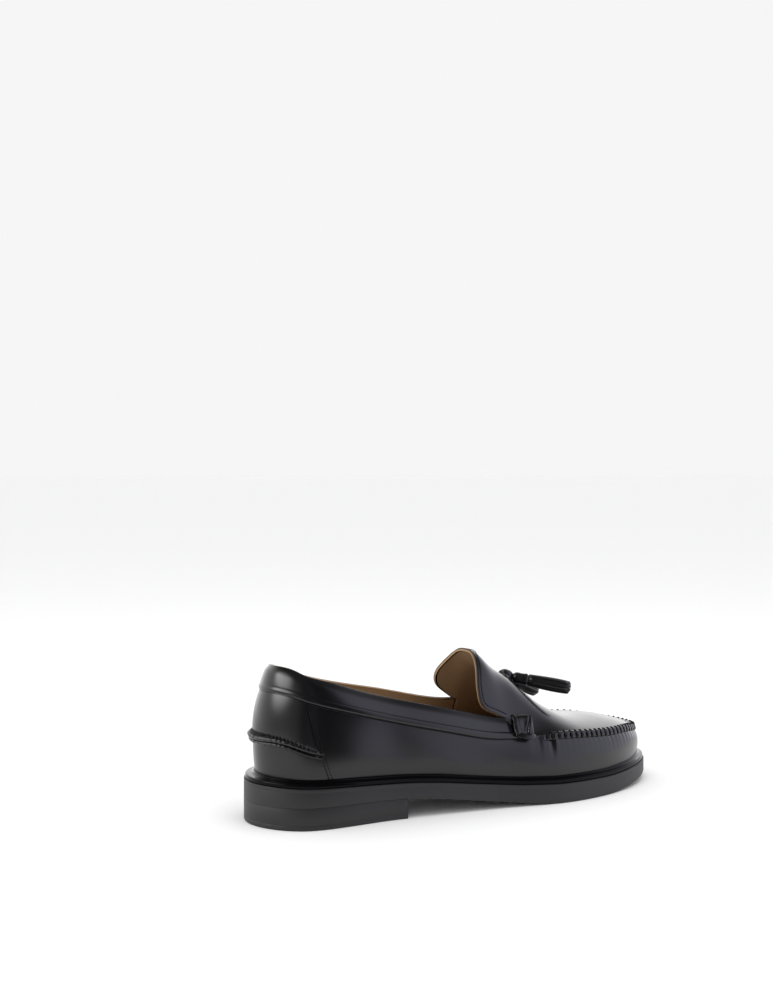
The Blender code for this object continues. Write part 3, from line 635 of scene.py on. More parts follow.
def vamp_lift(last, k, section):
    """The vamp piece carries on the band's step for a little way, then lies plain."""
    held = np.zeros(len(section))
    rises = np.arange(last.band_rows + 1) / last.band_rows
    held[: last.band_rows + 1] = band_height(rises) * band_hold(last.shares[k])
    held[-last.band_rows - 1 :] = held[last.band_rows :: -1]
    return held


def seam_lengths(last):
    """Distance along the seam from the toe's tip at every place of the loop."""
    steps = np.linalg.norm(np.diff(last.wall_ring(1.0), axis=0), axis=1)
    lateral = np.append(np.cumsum(steps[: last.stations][::-1])[::-1], 0)
    return np.concatenate((lateral, np.cumsum(steps[last.stations :])))


def unit(ways):
    return ways / np.linalg.norm(ways, axis=-1, keepdims=True)


def distances(path):
    """Distance along a path at each of its points."""
    return np.append(0, np.cumsum(np.linalg.norm(np.diff(path, axis=0), axis=1)))


def between(at, lengths, values):
    """The values at these distances along a path."""
    return np.stack([np.interp(at, lengths, column) for column in values.T], axis=1)


def resampled(path, out, step):
    """The path and its ways out at even steps, and the distances along it."""
    lengths = distances(path)
    at = np.linspace(0, lengths[-1], max(int(lengths[-1] / step), 8))
    return between(at, lengths, path), unit(between(at, lengths, out)), at


def end_fade(at, reach):
    """1 along a path, and 0 at its two ends."""
    return soft_step(at, 0, reach) * soft_step(at[-1] - at, 0, reach)


def added(name, data):
    """A new object in the scene."""
    item = bpy.data.objects.new(name, data)
    bpy.context.scene.collection.objects.link(item)
    return item


def mesh_object(name, points, faces, finish, node=None, face_slots=None, more=(), turn=True):
    """A smooth piece that rides on the shoe, and stands for a node of the frame where one is named."""
    mesh = bpy.data.meshes.new(name)
    mesh.from_pydata(np.asarray(points).tolist(), [], faces)
    for label in (finish, *more):
        mesh.materials.append(FINISHES[label])
    if face_slots is not None:
        mesh.polygons.foreach_set("material_index", np.asarray(face_slots, np.int32))
    mesh.polygons.foreach_set("use_smooth", np.full(len(mesh.polygons), True))
    mesh.validate()
    mesh.update()
    if turn:
        shape = bmesh.new()
        shape.from_mesh(mesh)
        bmesh.ops.recalc_face_normals(shape, faces=shape.faces)
        shape.to_mesh(mesh)
        shape.free()
    piece = added(name, mesh)
    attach(piece, "root")
    if node:
        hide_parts(node)
    return piece


def grid_faces(rows, columns, closed=True, start=0):
    """Faces of a grid of points listed row by row, closed from its last column to its first."""
    faces = []
    for r in range(rows - 1):
        low, high = start + r * columns, start + (r + 1) * columns
        for c in range(columns if closed else columns - 1):
            d = (c + 1) % columns
            faces.append([low + c, low + d, high + d, high + c])
    return faces


def tube_faces(rows, columns, start=0):
    """Faces of a closed grid, and of its two ends."""
    ends = [[start + r * columns + c for c in range(columns)] for r in (0, rows - 1)]
    return grid_faces(rows, columns, start=start) + ends


def frames(path, out):
    """Ways along a path, out from its surface and across both, at every point."""
    along = unit(np.gradient(path, axis=0))
    out = unit(out - (out * along).sum(axis=1)[:, None] * along)
    return along, out, np.cross(along, out)


def section_along(section, at):
    """A section given in millimetres, once for each place along a path."""
    return np.repeat(np.array(section)[None] * MM, len(at), axis=0)


def swept(name, path, out, offsets, finish, node=None):
    """A strip along a path; its section is (across, out) pairs, one for all places or one for each."""
    _, outward, across = frames(path, out)
    offsets = np.broadcast_to(offsets, (len(path), *np.shape(offsets)[-2:]))
    points = path[:, None] + across[:, None] * offsets[..., :1] + outward[:, None] * offsets[..., 1:]
    faces = tube_faces(len(path), offsets.shape[1])
    return mesh_object(name, points.reshape(-1, 3), faces, finish, node)


def ribbon(name, path, out, width, thickness, finish, node=None):
    """A flat strap with soft edges along a path."""
    turns = np.linspace(0, 2 * math.pi, 16, endpoint=False)
    wide, high = np.cos(turns), np.sin(turns)
    section = np.column_stack((width / 2 * np.sign(wide) * np.abs(wide) ** 0.45,
                               thickness / 2 * np.sign(high) * np.abs(high) ** 0.7))
    return swept(name, path, out, section, finish, node)


def tubes(name, paths, radius, finish, sides=8, flat=1.0):
    """Many short rods as one mesh: each path is an array of points, round ended."""
    points, faces = [], []
    turns = 2 * math.pi * np.arange(sides)[:, None] / sides
    for path in paths:
        along = unit(np.gradient(path, axis=0))
        pole = (0, 0, 1.0) if abs(along[0][2]) < 0.8 else (1.0, 0, 0)
        first = unit(np.cross(along, pole))
        second = np.cross(along, first)
        swell = radius * np.sqrt(np.clip(1 - np.abs(np.linspace(-1, 1, len(path))) ** 6, 0.12, 1))
        ring = first[:, None] * np.cos(turns) + flat * second[:, None] * np.sin(turns)
        faces += tube_faces(len(path), sides, len(points))
        points.extend((path[:, None] + swell[:, None, None] * ring).reshape(-1, 3))
    return mesh_object(name, points, faces, finish)


def stitch_row(name, path, out, share):
    """Fine threads along a path, each this share of the pitch long, dipping in at its ends."""
    seams = bpy.context.scene.loafer_seams
    pitch, radius = seams.fine_pitch, seams.fine_radius
    _, outward, _ = frames(path, out)
    lengths = distances(path)
    reach = np.linspace(-0.5, 0.5, 7)
    arc = (1 - (2 * reach) ** 4)[:, None] * radius * 0.9 - 0.3 * radius
    paths = []
    for middle in np.arange(pitch, lengths[-1] - pitch / 2, pitch):
        at = middle + reach * share * pitch
        paths.append(between(at, lengths, path) + between(at, lengths, outward) * arc)
    tubes(name, paths, radius, "thread", sides=6)


def smooth_path(points, count):
    """A smooth curve through a few given points."""
    points = np.array(points, float)
    lengths = distances(points)
    return spline(lengths, points)(np.linspace(0, lengths[-1], count))


# Materials


def feed(tree, socket, value):
    """Give a socket a value, or join it to another node's output."""
    if isinstance(value, bpy.types.NodeSocket):
        tree.links.new(value, socket)
    else:
        socket.default_value = value


def add_node(tree, kind, inputs=None, **settings):
    node = tree.nodes.new(f"ShaderNode{kind}")
    for key, value in settings.items():
        setattr(node, key, value)
    for key, value in (inputs or {}).items():
        feed(tree, node.inputs[key], value)
    return node


def math_node(tree, operation, first, second):
    return add_node(tree, "Math", {0: first, 1: second}, operation=operation).outputs[0]


def mixed(tree, factor, first, second):
    """A colour between two others."""
    inputs = {"Factor": factor, "A": first, "B": second}
    return add_node(tree, "Mix", inputs, data_type="RGBA").outputs["Result"]


def ranged(tree, value, numbers, kind="SMOOTHSTEP"):
    """A value carried from one range, the first two numbers, to another."""
    inputs = dict(zip(("From Min", "From Max", "To Min", "To Max"), numbers), Value=value)
    return add_node(tree, "MapRange", inputs, interpolation_type=kind).outputs["Result"]


def node_group(name, inputs, outputs):
    """A shader group with sockets for numbers, and its input and output nodes."""
    group = bpy.data.node_groups.new(name, "ShaderNodeTree")
    for label, default in inputs.items():
        socket = group.interface.new_socket(label, in_out="INPUT", socket_type="NodeSocketFloat")
        socket.default_value = default
    for label in outputs:
        group.interface.new_socket(label, in_out="OUTPUT", socket_type="NodeSocketFloat")
    return group, group.nodes.new("NodeGroupInput").outputs, group.nodes.new("NodeGroupOutput").inputs


def leather_grain_group():
    """Pores and fine creases of leather as a height, and where the finish lies thicker."""
    defaults = {"Pore Scale": 900.0, "Crease Scale": 120.0, "Crease Share": 0.3}
    group, given, result = node_group("Leather Grain", defaults, ("Height", "Finish"))
    place = add_node(group, "TexCoord").outputs["Object"]
    pores = add_node(group, "TexVoronoi", {"Vector": place, "Scale": given["Pore Scale"]})
    crease = {"Vector": place, "Scale": given["Crease Scale"], "Detail": 5.0, "Roughness": 0.6}
    creases = add_node(group, "TexNoise", crease).outputs["Fac"]
    finish = add_node(group, "TexNoise", {"Vector": place, "Scale": 34.0, "Detail": 3.0, "Roughness": 0.5})
    weighted = math_node(group, "MULTIPLY", creases, given["Crease Share"])
    feed(group, result["Height"], math_node(group, "ADD", pores.outputs["Distance"], weighted))
    feed(group, result["Finish"], finish.outputs["Fac"])
    return group


def scuff_group():
    """Faint rubbing and dust: a mask from long thin noise over broad patches."""
    group, given, result = node_group("Scuffs", {"Patch Scale": 18.0, "Amount": 0.25}, ("Mask",))
    place = add_node(group, "TexCoord").outputs["Object"]
    stretch = add_node(group, "Mapping", {"Vector": place, "Scale": (60.0, 900.0, 700.0)}).outputs["Vector"]
    streaks = add_node(group, "TexNoise", {"Vector": stretch, "Scale": 1.0, "Detail": 2.0}).outputs["Fac"]
    patches = add_node(group, "TexNoise", {"Vector": place, "Scale": given["Patch Scale"], "Detail": 4.0})
    thin = math_node(group, "GREATER_THAN", streaks, 0.66)
    broad = math_node(group, "SUBTRACT", patches.outputs["Fac"], 0.42)
    both = math_node(group, "MULTIPLY", thin, math_node(group, "MAXIMUM", broad, 0.0))
    feed(group, result["Mask"], math_node(group, "MULTIPLY", both, given["Amount"]))
    return group


def finished(name, colour, worn, roughness, grain, bump_depth, scuff, sheen, grain_group, scuffs):
    """A leather, rubber or thread: base colour shading into a worn one, uneven gloss and a grain bump."""
    material = bpy.data.materials.new(name)
    material.use_nodes = True
    tree = material.node_tree
    scales = dict(zip(("Pore Scale", "Crease Scale", "Crease Share"), grain))
    leather = add_node(tree, "Group", scales, node_tree=grain_group).outputs
    rubbed = add_node(tree, "Group", {"Amount": scuff}, node_tree=scuffs).outputs["Mask"]
    blend = math_node(tree, "ADD", rubbed, math_node(tree, "MULTIPLY", leather["Finish"], 0.3))
    uneven = math_node(tree, "MULTIPLY", leather["Finish"], 0.35 * roughness)
    rougher = math_node(tree, "ADD", uneven, math_node(tree, "MULTIPLY", rubbed, 0.5))
    height = {"Distance": bump_depth * MM, "Strength": 1.0, "Height": leather["Height"]}
    shader = {
        "Base Color": mixed(tree, blend, (*colour, 1), (*worn, 1)),
        "Roughness": math_node(tree, "ADD", rougher, 0.82 * roughness),
        "Specular IOR Level": sheen,
        "Normal": add_node(tree, "Bump", height).outputs["Normal"],
    }
    for label, value in shader.items():
        feed(tree, tree.nodes["Principled BSDF"].inputs[label], value)
    return material


def build_finishes():
    """Every finish by its plain name, as finished() takes it, with the bump's depth in millimetres."""
    finish = bpy.context.scene.loafer_finish
    groups = leather_grain_group(), scuff_group()
    black, brown, sole = map(np.array, (finish.leather_colour, finish.lining_colour, finish.sole_colour))
    cut = (2200.0, 500.0, 1.0)
    rows = {
        "polished": ("polished_leather", black, (0.012, 0.012, 0.014), finish.leather_roughness,
                     (1500.0, 140.0, 0.5), 0.004, 0.12, 0.5),
        # The welt's colour is half the upper's black and its sheen is low, so it reads as the dark band under
        # the upper: painted shade of the groove there.
        "welt": ("welt_leather", 0.5 * black, black, 0.13, (1100.0, 200.0, 0.6), 0.004, 0.2, 0.09),
        "strip": ("tassel_leather", black, (0.015, 0.015, 0.015), 0.36, (1300.0, 260.0, 0.7), 0.02, 0.3, 0.5),
        # Waxed thread is black and fairly dull; its low sheen also keeps the line under the collar band near
        # black, as painted shade of the groove there.
        "thread": ("waxed_thread", (0.003, 0.003, 0.0035), (0.012, 0.012, 0.012), 0.5,
                   (2500.0, 900.0, 1.0), 0.05, 0.2, 0.25),
        "lining": ("lining_leather", brown, 0.55 * brown, 0.62, (1200.0, 90.0, 1.2), 0.03, 0.5, 0.5),
        "footbed": ("footbed_leather", 0.9 * brown, 0.5 * brown, 0.6, (1200.0, 60.0, 1.2), 0.03, 0.5, 0.5),
        "raw": ("raw_leather_edge", finish.edge_colour, (0.2, 0.11, 0.05), 0.75, cut, 0.06, 0.6, 0.5),
        "rim": ("lining_leather_rim", 1.3 * brown, brown, 0.7, cut, 0.04, 0.5, 0.5),
        "edge": ("dyed_leather_edge", (0.03, 0.02, 0.014), (0.08, 0.05, 0.03), 0.6, cut, 0.06, 0.4, 0.5),
        "sole": ("sole_rubber", sole, 1.8 * sole, finish.sole_roughness, (700.0, 160.0, 0.8), 0.03, 0.5, 0.5),
    }
    FINISHES.update({label: finished(*row, *groups) for label, row in rows.items()})


FINISHES = {}


# Pieces


def fine_last():
    """The form of the visible leather; its side rows lie close at the heel's ridge and under the seam."""
    parts = ((0, 0.3, 7), (0.3, 0.52, 12), (0.52, 0.86, 10), (0.86, 1, 8))
    rows = np.concatenate([np.linspace(*part) for part in parts])
    return Last(FINE_STATIONS, 40, 8, 14, np.unique(np.round(rows, 4)))


def edge_last(stations):
    """A form for pieces that only follow the sole's edge."""
    return Last(stations, 8, 2, 2, (0.0, 1.0))


def rolled_edge(surface, normals, loop, roll):
    """Rows of a rounded rim, from an open edge of the outside to the inside."""
    places = np.array(surface.points)
    middle = places.mean(axis=0) * (1, 1, 0)
    places = places[loop]
    outer = places + normals[loop] * np.array(surface.lifts)[loop][:, None]
    inner = places - normals[loop] * WALL
    away = unit(np.cross(unit(np.gradient(outer, axis=0)), normals[loop]))
    half = len(loop) // 2
    if away[half] @ (places[half] - middle) < 0:
        roll = -roll
    return [(outer + inner) / 2 + (outer - inner) / 2 * math.cos(turn) + away * roll * math.sin(turn)
            for turn in math.pi * np.arange(1, 7) / 6]


def build_upper():
    """The leather, from its foot line to the rolled edges of collar and tongue."""
    surface, collar, tongue = upper_surface(fine_last())
    normals = surface.normals()
    points = list(np.array(surface.points) + normals * np.array(surface.lifts)[:, None])
    faces, face_slots = list(surface.faces), [0] * len(surface.faces)
    for loop, roll, finishes in ((collar, 0.35 * MM, (0,) * 6), (tongue, 0.3 * MM, (2, 2, 2, 1, 1, 1))):
        before = loop
        for level, finish in zip(rolled_edge(surface, normals, loop, roll), finishes):
            after = list(range(len(points), len(points) + len(level)))
            points += list(level)
            for i in range(len(loop) - 1):
                faces.append([before[i], before[i + 1], after[i + 1], after[i]])
                face_slots.append(finish)
            before = after
    mesh_object("upper_leather", points, faces, "polished", "upper", face_slots, ("raw", "edge"))


def build_lining():
    """The brown lining inside the leather."""
    surface, _, _ = upper_surface(Last(COARSE_STATIONS, 20, 4, 8, np.linspace(0, 1, 12)), relief=0)
    points = np.array(surface.points) - surface.normals() * (WALL - 0.05 * MM)
    faces = [face[::-1] for face in surface.faces]
    piece = mesh_object("upper_lining", points, faces, "lining", turn=False)
    modifier = piece.modifiers.new("smooth", "SUBSURF")
    modifier.levels = modifier.render_levels = 1


def wall_path(last, row, order, low, high):
    """Places along one row of the wall, and the ways out, square to the wall between two other rows."""
    plan_out = np.vstack((edge(last.shares, LATERAL)[1], edge(last.shares, MEDIAL)[1][-2:0:-1]))
    level = np.column_stack((plan_out, np.zeros(len(plan_out))))
    down = unit(last.wall_ring(low) - last.wall_ring(high))
    out = unit(level - (level * down).sum(axis=1)[:, None] * down)
    return last.wall_ring(row)[order], out[order]


def rear_path(last, row, until, step):
    """Even steps along one row of the wall round the heel, from the medial side to the lateral one."""
    order = [i for i in range(1 - last.stations, last.stations) if last.shares[abs(i)] <= until]
    return resampled(*wall_path(last, row, order, row - 0.02, min(row + 0.02, 1.0)), step)


def build_seam():
    """The raised seam round the toe: a roll with a slot at each whipped stitch, and its threads."""
    seams = bpy.context.scene.loafer_seams
    last = fine_last()
    order = np.where(last.loop_share >= STITCHED_FROM)[0]
    path, out, at = resampled(*wall_path(last, 1.0, order, 0.97, 1.0), 0.35 * MM)
    middle = at[-1] / 2
    slot = np.clip(1.9 * np.cos(math.pi * (at - middle) / seams.stitch_pitch) ** 2 - 0.75, 0, 1)
    whole = end_fade(at, 9 * MM)[:, None]
    offsets = section_along(SEAM_SECTION, at)
    face = (offsets[0, :, 0] > 0.3 * MM) & (offsets[0, :, 1] > 0)
    offsets[..., 1] -= SEAM_SLOT * slot[:, None] * face
    offsets[..., 1] *= 0.35 + 0.65 * whole
    offsets[..., 1] -= 0.25 * MM * (1 - whole)
    swept("seam_roll", path, out, offsets, "polished")

    along, outward, across = frames(path, out)
    reach, lift = np.array(STITCH_SECTION).T * MM
    slant = np.linspace(0.5, -0.5, len(reach)) * seams.stitch_slant
    threads = []
    count = int(middle / seams.stitch_pitch)
    for i in range(1 - count, count):
        k = np.clip(np.searchsorted(at, middle + i * seams.stitch_pitch), 1, len(at) - 2)
        section = np.outer(reach, across[k]) + np.outer(lift, outward[k]) + np.outer(slant, along[k])
        threads.append(path[k] + section)
    tubes("seam_threads", threads, seams.thread_radius, "thread")


def build_band():
    """The collar band's rolled lower edge, and the dark waxed thread drawn in under it, which also stands in
    for the painted shade of the groove there.
    """
    path, out, at = rear_path(fine_last(), 1.0, TAB_SHARE, 0.8 * MM)
    offsets = section_along(BAND_SECTION, at)
    offsets[..., 1] *= 0.3 + 0.7 * end_fade(at, 6 * MM)[:, None]
    swept("band_edge", path, out, offsets, "polished")
    _, outward, across = frames(path, out)
    # A dark thread line just under the band's edge: painted shade of the groove below the roll.
    line = path + across * 1.0 * MM + outward * 0.12 * MM
    tubes("band_shade_thread", [line], bpy.context.scene.loafer_seams.thread_radius, "thread")


def build_heel_piping():
    """The puckered double piping round the heel, fading into the side, and its gathers."""
    last = fine_last()
    path, out, at = rear_path(last, RIDGE_ROW, PIPING_END, 0.5 * MM)
    _, outward, across = frames(path, out)
    away = np.abs(2 * at / at[-1] - 1)
    fade = 0.75 * (1 - soft_step(away, 0.1, 1.0)) + 0.25 * (1 - soft_step(away, 0.8, 1.0))
    pucker = 0.5 + 0.5 * np.sin(at / (0.55 * MM) + 1.3 * np.sin(at / (2.1 * MM)))
    drift = 0.35 * MM * np.sin(at / (6 * MM))
    for name, shift, stand, size in PIPING_ROLLS:
        height = stand * fade * MM + (0.4 * pucker - 0.3) * MM * size * (fade > 0.02)
        line = path + outward * (height - 0.6 * MM)[:, None] + across * (shift * MM + drift)[:, None]
        offsets = section_along(PIPING_SECTION, at) * size
        offsets[:, offsets[0, :, 1] < -size * MM, 1] = -(height[:, None] + 1.2 * MM)
        swept(name, line, out, offsets, "polished")

    path, out, at = rear_path(last, RIDGE_ROW, GATHERS_END, GATHER_PITCH)
    _, outward, across = frames(path, out)
    fade = 1 - soft_step(np.abs(2 * at / at[-1] - 1), 0.1, 1.0)
    slope = np.gradient(path, axis=0) / GATHER_PITCH
    reach, lift = np.array(GATHER_SECTION).T * MM
    gathers = []
    for k in range(2, len(path) - 2):
        lean = math.sin(2.4 * k) * 0.5 * MM
        section = np.outer(reach, across[k]) + np.outer(lift * (0.25 + 0.75 * fade[k]), outward[k])
        gathers.append(path[k] + section + np.outer(np.linspace(-lean, lean, len(reach)), slope[k]))
    tubes("heel_gathers", gathers, 0.55 * MM, "polished", sides=6, flat=0.7)


def wall_place(share, side, row):
    """A place on the upper's side and the way out from it."""

    def at(share, row):
        place, out = edge(share, side)
        row = float(climb(np.array([share]), row)[0])
        plan = (place - out * wall_inset(share, row)[:, None])[0]
        foot = float(sole_top(plan[0])[0]) + GAP
        return np.append(plan, foot + row * (wall_at(share)[0, 3] * COLLAR_HEIGHT - foot))

    step = 0.002
    along = at(share + step, row) - at(share - step, row)
    up = at(share, min(row + step, 1)) - at(share, row - step)
    out = unit(np.cross(along, up))
    return at(share, row), out * np.sign(out[:2] @ edge(share, side)[1][0])


def build_counter_stitches():
    """Two rows of fine stitches down each side, along the counter's front."""
    for side, side_name in ((LATERAL, "lateral"), (MEDIAL, "medial")):
        for name, ahead, lift in (("rear", 0.002, 0.35 * MM), ("front", 0.0095, 0)):
            rows = np.linspace(0.03, 0.985, 40)
            found = [wall_place(counter_front(row) + ahead, side, row) for row in rows]
            places, ways = map(np.array, zip(*found))
            stitch_row(f"counter_stitches_{side_name}_{name}", places + ways * lift, ways, 0.72)


def build_tongue_trim():
    """The stitch line beside the tongue's edge, and the pale cut edge of the lining along the collar."""
    surface, collar, tongue = upper_surface(fine_last())
    normals, points = surface.normals(), np.array(surface.points)
    _, _, across = frames(points[tongue], normals[tongue])
    ahead = across * np.sign(across[len(tongue) // 2][0])
    path, out, _ = resampled(points[tongue] + ahead * 2.4 * MM, normals[tongue], 0.8 * MM)
    stitch_row("tongue_stitches", path + out * 0.12 * MM, out, 0.75)
    path, out, _ = resampled(points[collar], normals[collar], 1.6 * MM)
    line = path - out * (WALL - 0.15 * MM) + np.array((0, 0, 0.15 * MM))
    tubes("lining_edge", [line], 0.4 * MM, "rim")


def vamp_point(share, width):
    """A place on the vamp, from the lateral seam (-1) over the ridge (0) to the medial one (1), and out."""

    def place_at(share, width):
        ends = []
        for side in (LATERAL, MEDIAL):
            place, out = edge(share, side)
            plan = (place - out * wall_inset(share, 1.0)[:, None])[0]
            ends.append(np.append(plan, wall_at(share)[0, 3] * COLLAR_HEIGHT))
        middle = (ends[0] + ends[1]) / 2
        base = ends[0] if width < 0 else ends[1]
        place = middle + (base - middle) * abs(width)
        rise = ridge_height(middle[0])[0] - base[2]
        place[2] = base[2] + arch_height(width, steepness(middle[0])) * rise
        return place

    step = 0.002
    along = place_at(share + step, width) - place_at(share - step, width)
    across = place_at(share, width + step) - place_at(share, width - step)
    return place_at(share, width), unit(along), unit(np.cross(along, across))


def tab_patch(name, place):
    """A padded patch with round corners: a front with a dent and a fold, a flat back and a rim."""
    count = 22
    span = np.linspace(-0.5, 0.5, count)
    v, u = (values.ravel() for values in np.meshgrid(span, span, indexing="ij"))
    shrink = 1 / np.maximum((np.abs(2 * u) ** 5 + np.abs(2 * v) ** 5) ** 0.2, 1)
    face = 0.36 * (1 - np.maximum(np.abs(2 * u), np.abs(2 * v)) ** 6)
    bend = u - 0.24 - 0.12 * np.sin(4 * v)
    fold = 0.10 * np.exp(-(((bend - 0.08) / 0.06) ** 2)) - 0.34 * np.exp(-((bend / 0.04) ** 2))
    dent = -0.18 * np.exp(-(((u - 0.02) / 0.16) ** 2 + ((v + 0.05) / 0.3) ** 2))
    lift = face + fold * (1 - np.abs(2 * v) ** 4) + dent
    points = [place(np.column_stack((u * shrink, v * shrink, w))) for w in (lift, np.full(len(u), -0.75))]

    back = len(u)
    faces = grid_faces(count, count, closed=False)
    faces += [[back + c for c in face][::-1] for face in faces]
    grid = np.arange(back).reshape(count, count)
    rim = np.concatenate((grid[0], grid[1:, -1], grid[-1, -2::-1], grid[-2:0:-1, 0])).tolist()
    faces += [[here, back + here, back + there, there] for here, there in zip(rim, rim[1:] + rim[:1])]
    mesh_object(f"{name}_patch", np.vstack(points), faces, "polished", name)


def build_tabs():
    """The folded tab over each end of the seam: a padded patch, a fold behind it and a rolled lip."""
    for name, side in (("tab_lateral", LATERAL), ("tab_medial", MEDIAL)):
        low, high = (np.array(corner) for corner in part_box(name))
        level = np.append(edge(TAB_SHARE, side)[1][0], 0)
        along = np.array((level[1], -level[0], 0))
        along *= np.sign(along[0])
        out = level * math.cos(TAB_TILT) + np.array((0, 0, math.sin(TAB_TILT)))
        up = np.cross(out, along)
        up *= np.sign(up[2])

        def place(rows, middle=(low + high) / 2, axes=np.array((along, up, out))):
            return middle + np.array(rows) * (TAB_WIDTH, TAB_HEIGHT, TAB_THICKNESS) @ axes

        tab_patch(name, place)
        for label, points, count, width in (("fold_1", TAB_FOLD, 20, 3.0), ("lip", TAB_LIP, 24, 3.4)):
            path = smooth_path(place(points), count)
            ways = np.repeat(out[None], count, axis=0)
            ribbon(f"{name}_{label}", path, ways, width * MM, 1.6 * MM, "polished")


def knot_place():
    place, along, out = vamp_point(KNOT_SHARE, 0.0)
    return place + out * (CLEAR + 0.36 * KNOT_WIDTH), along, out


def build_lace():
    """The lace over the ridge, its loop standing up behind the knot, and the knot's windings."""
    middle, along, out = knot_place()
    share = KNOT_SHARE - LACE_SET * KNOT_WIDTH * along[0] / SOLE_LENGTH
    path, ways = [], []
    for width in np.linspace(-LACE_REACH, LACE_REACH, 31):
        place, _, way = vamp_point(share, width)
        sink = 2.6 * MM * (abs(width) / LACE_REACH) ** 8
        path.append(place + way * (CLEAR + 0.6 * LACE_THICKNESS - sink))
        ways.append(way)
    ribbon("lace_crossing", np.array(path), np.array(ways), LACE_WIDTH, LACE_THICKNESS, "strip",
           "lace_knot")
    axes = np.array((along, np.cross(out, along), out))
    for name, width, thickness, points in KNOT_WINDINGS:
        path = smooth_path(middle + np.array(points) @ axes * KNOT_WIDTH, 26)
        ways = unit(path - middle) + out * 0.4
        ribbon(name, path, ways, width * KNOT_WIDTH, thickness * KNOT_WIDTH, "strip")


def build_tassels():
    """Each tassel: a wrapped cap and a skirt of cut strips that part towards their ends."""
    trim = bpy.context.scene.loafer_trim
    rng = np.random.default_rng(7)
    for name, side, fall in TASSELS:
        along = unit(np.array(fall))
        across = unit(np.cross((0, 0, 1), along))
        up = np.cross(along, across)
        start = knot_place()[0] + along * (0.62 * KNOT_WIDTH) + across * (0.22 * KNOT_WIDTH * side)
        turns = 2 * math.pi * np.arange(32) / 32
        spokes = np.outer(np.cos(turns), across) + np.outer(np.sin(turns), up)
        rings = []
        for part, radius in CAP_RINGS:
            ribs = TASSEL_RADIUS * radius * (1 + 0.03 * np.sin(9 * turns + 20 * part))
            rings.append(start + along * part * TASSEL_LENGTH + spokes * ribs[:, None])
        mesh_object(f"{name}_cap", np.vstack(rings), tube_faces(len(rings), 32), "strip", name)

        points, faces = [], []
        for count, radius, flare, overlap in (*INNER_STRIPS, (trim.strips, 0.9, 1.06, 1.05)):
            width = 2 * math.pi * TASSEL_RADIUS * radius / count * overlap
            for i in range(count):
                turn = 2 * math.pi * (i + 0.5 * rng.random()) / count
                away = across * math.cos(turn) + up * math.sin(turn)
                sideways = np.cross(along, away)
                steps = np.linspace(SKIRT_START, 1.0 - 0.06 * rng.random(), 10)
                sway = 0.5 * (rng.random() - 0.5)
                parted = (steps - SKIRT_START) / (1 - SKIRT_START)
                held = radius * 0.92
                reach = held + (flare - held) * np.sin(parted * math.pi / 2) - 0.20 * parted**4
                drift = np.outer(reach, away) + np.outer(0.35 * sway * parted**2, sideways)
                centres = start + np.outer(steps * TASSEL_LENGTH, along) + drift * TASSEL_RADIUS
                twist = sway * 0.9 * parted
                flat = np.outer(np.cos(twist), sideways) + np.outer(np.sin(twist), away)
                wide, thick = flat * width, np.cross(along, flat) * trim.strip_thickness
                faces += tube_faces(len(steps), len(STRIP_SECTION), len(points))
                for centre, w, h in zip(centres, wide, thick):
                    points += [centre + a * w - b * h for a, b in STRIP_SECTION]
        mesh_object(f"{name}_strips", points, faces, "strip")


def loop_stack(name, loops, finish, node, ends=True):
    """A plate or strip from loops round the shoe, its ends closed across from side to side."""
    count = len(loops[0])
    faces = grid_faces(len(loops), count)
    for start in (0, (len(loops) - 1) * count) if ends else ():
        for k in range(count // 2):
            corners = [k, k + 1, (count - k - 1) % count, (count - k) % count]
            faces.append([start + c for i, c in enumerate(corners) if c != corners[i - 1]])
    return mesh_object(name, np.vstack(loops), faces, finish, node)


def build_outsole():
    """The sole with rounded edges and a fine groove under its top."""
    last = edge_last(180)

    def level(inset, height, lift):
        return last.ring(
            lambda share, _side: np.full(len(share), inset),
            lambda _share, _side, plan: height(plan[:, 0]) + lift,
        )

    low, soft, groove = 0.9 * MM, 0.35 * MM, -2.1 * MM
    breast = HEEL_LENGTH / SOLE_LENGTH
    bare = 0.1 + 0.9 * soft_step(last.loop_share, breast - 0.01, breast)[:, None]
    rim = level(0, sole_underside, 0)
    loops = []
    for turn in np.linspace(0, math.pi / 2, 5):
        inner = level(low * (1 - math.sin(turn)), sole_underside, low * (1 - math.cos(turn)))
        loops.append(rim + (inner - rim) * bare)
    for inset, lift in ((0.0, -0.35), (0.1, 0.0), (0.0, 0.35)):
        loops.append(level(inset * MM, sole_top, groove + lift * MM))
    for turn in np.linspace(0, math.pi / 2, 4):
        loops.append(level(soft * (1 - math.cos(turn)), sole_top, -soft * (1 - math.sin(turn))))
    loop_stack("outsole_rubber", loops, "sole", "outsole")


def build_heel_block():
    """The heel block in its layers."""
    shares = HEEL_LENGTH / SOLE_LENGTH * (1 - np.cos(math.pi / 2 * np.arange(61) / 60))
    loops = []
    for inset, lift, part in HEEL_LAYERS:
        ends = (edge(shares, side) for side in (LATERAL, MEDIAL))
        lateral, medial = (place - out * inset * MM for place, out in ends)
        plan = np.vstack((lateral, medial[:0:-1]))
        height = lift * MM + part * (sole_underside(plan[:, 0]) - GAP * 0.2)
        loops.append(np.column_stack((plan, height)))
    loop_stack("heel_rubber", loops, "sole", "heel_block")


def build_welt():
    """The glossy welt: a rounded outer edge, a smooth shelf and a rise to the upper; its finish is darkened
    as painted shade.
    """
    last = edge_last(220)
    loops = []
    for part, extra, rise in WELT_SECTION:

        def inset(share, _side, part=part, base=0.13 * WELT_SHELF + extra * MM):
            inner = np.min([wall_inset(share, row) for row in (0.0, 0.10, 0.16)], axis=0) - 0.35 * GAP
            return part * inner + (1 - part) * base

        def height(_share, _side, plan, rise=rise):
            return sole_top(plan[:, 0]) + 0.2 * GAP + rise * WELT_RISE

        loops.append(last.ring(inset, height))
    piece = loop_stack("welt_leather", loops, "welt", "welt", ends=False)
    piece.modifiers.new("weld", "WELD").merge_threshold = 0.01 * MM


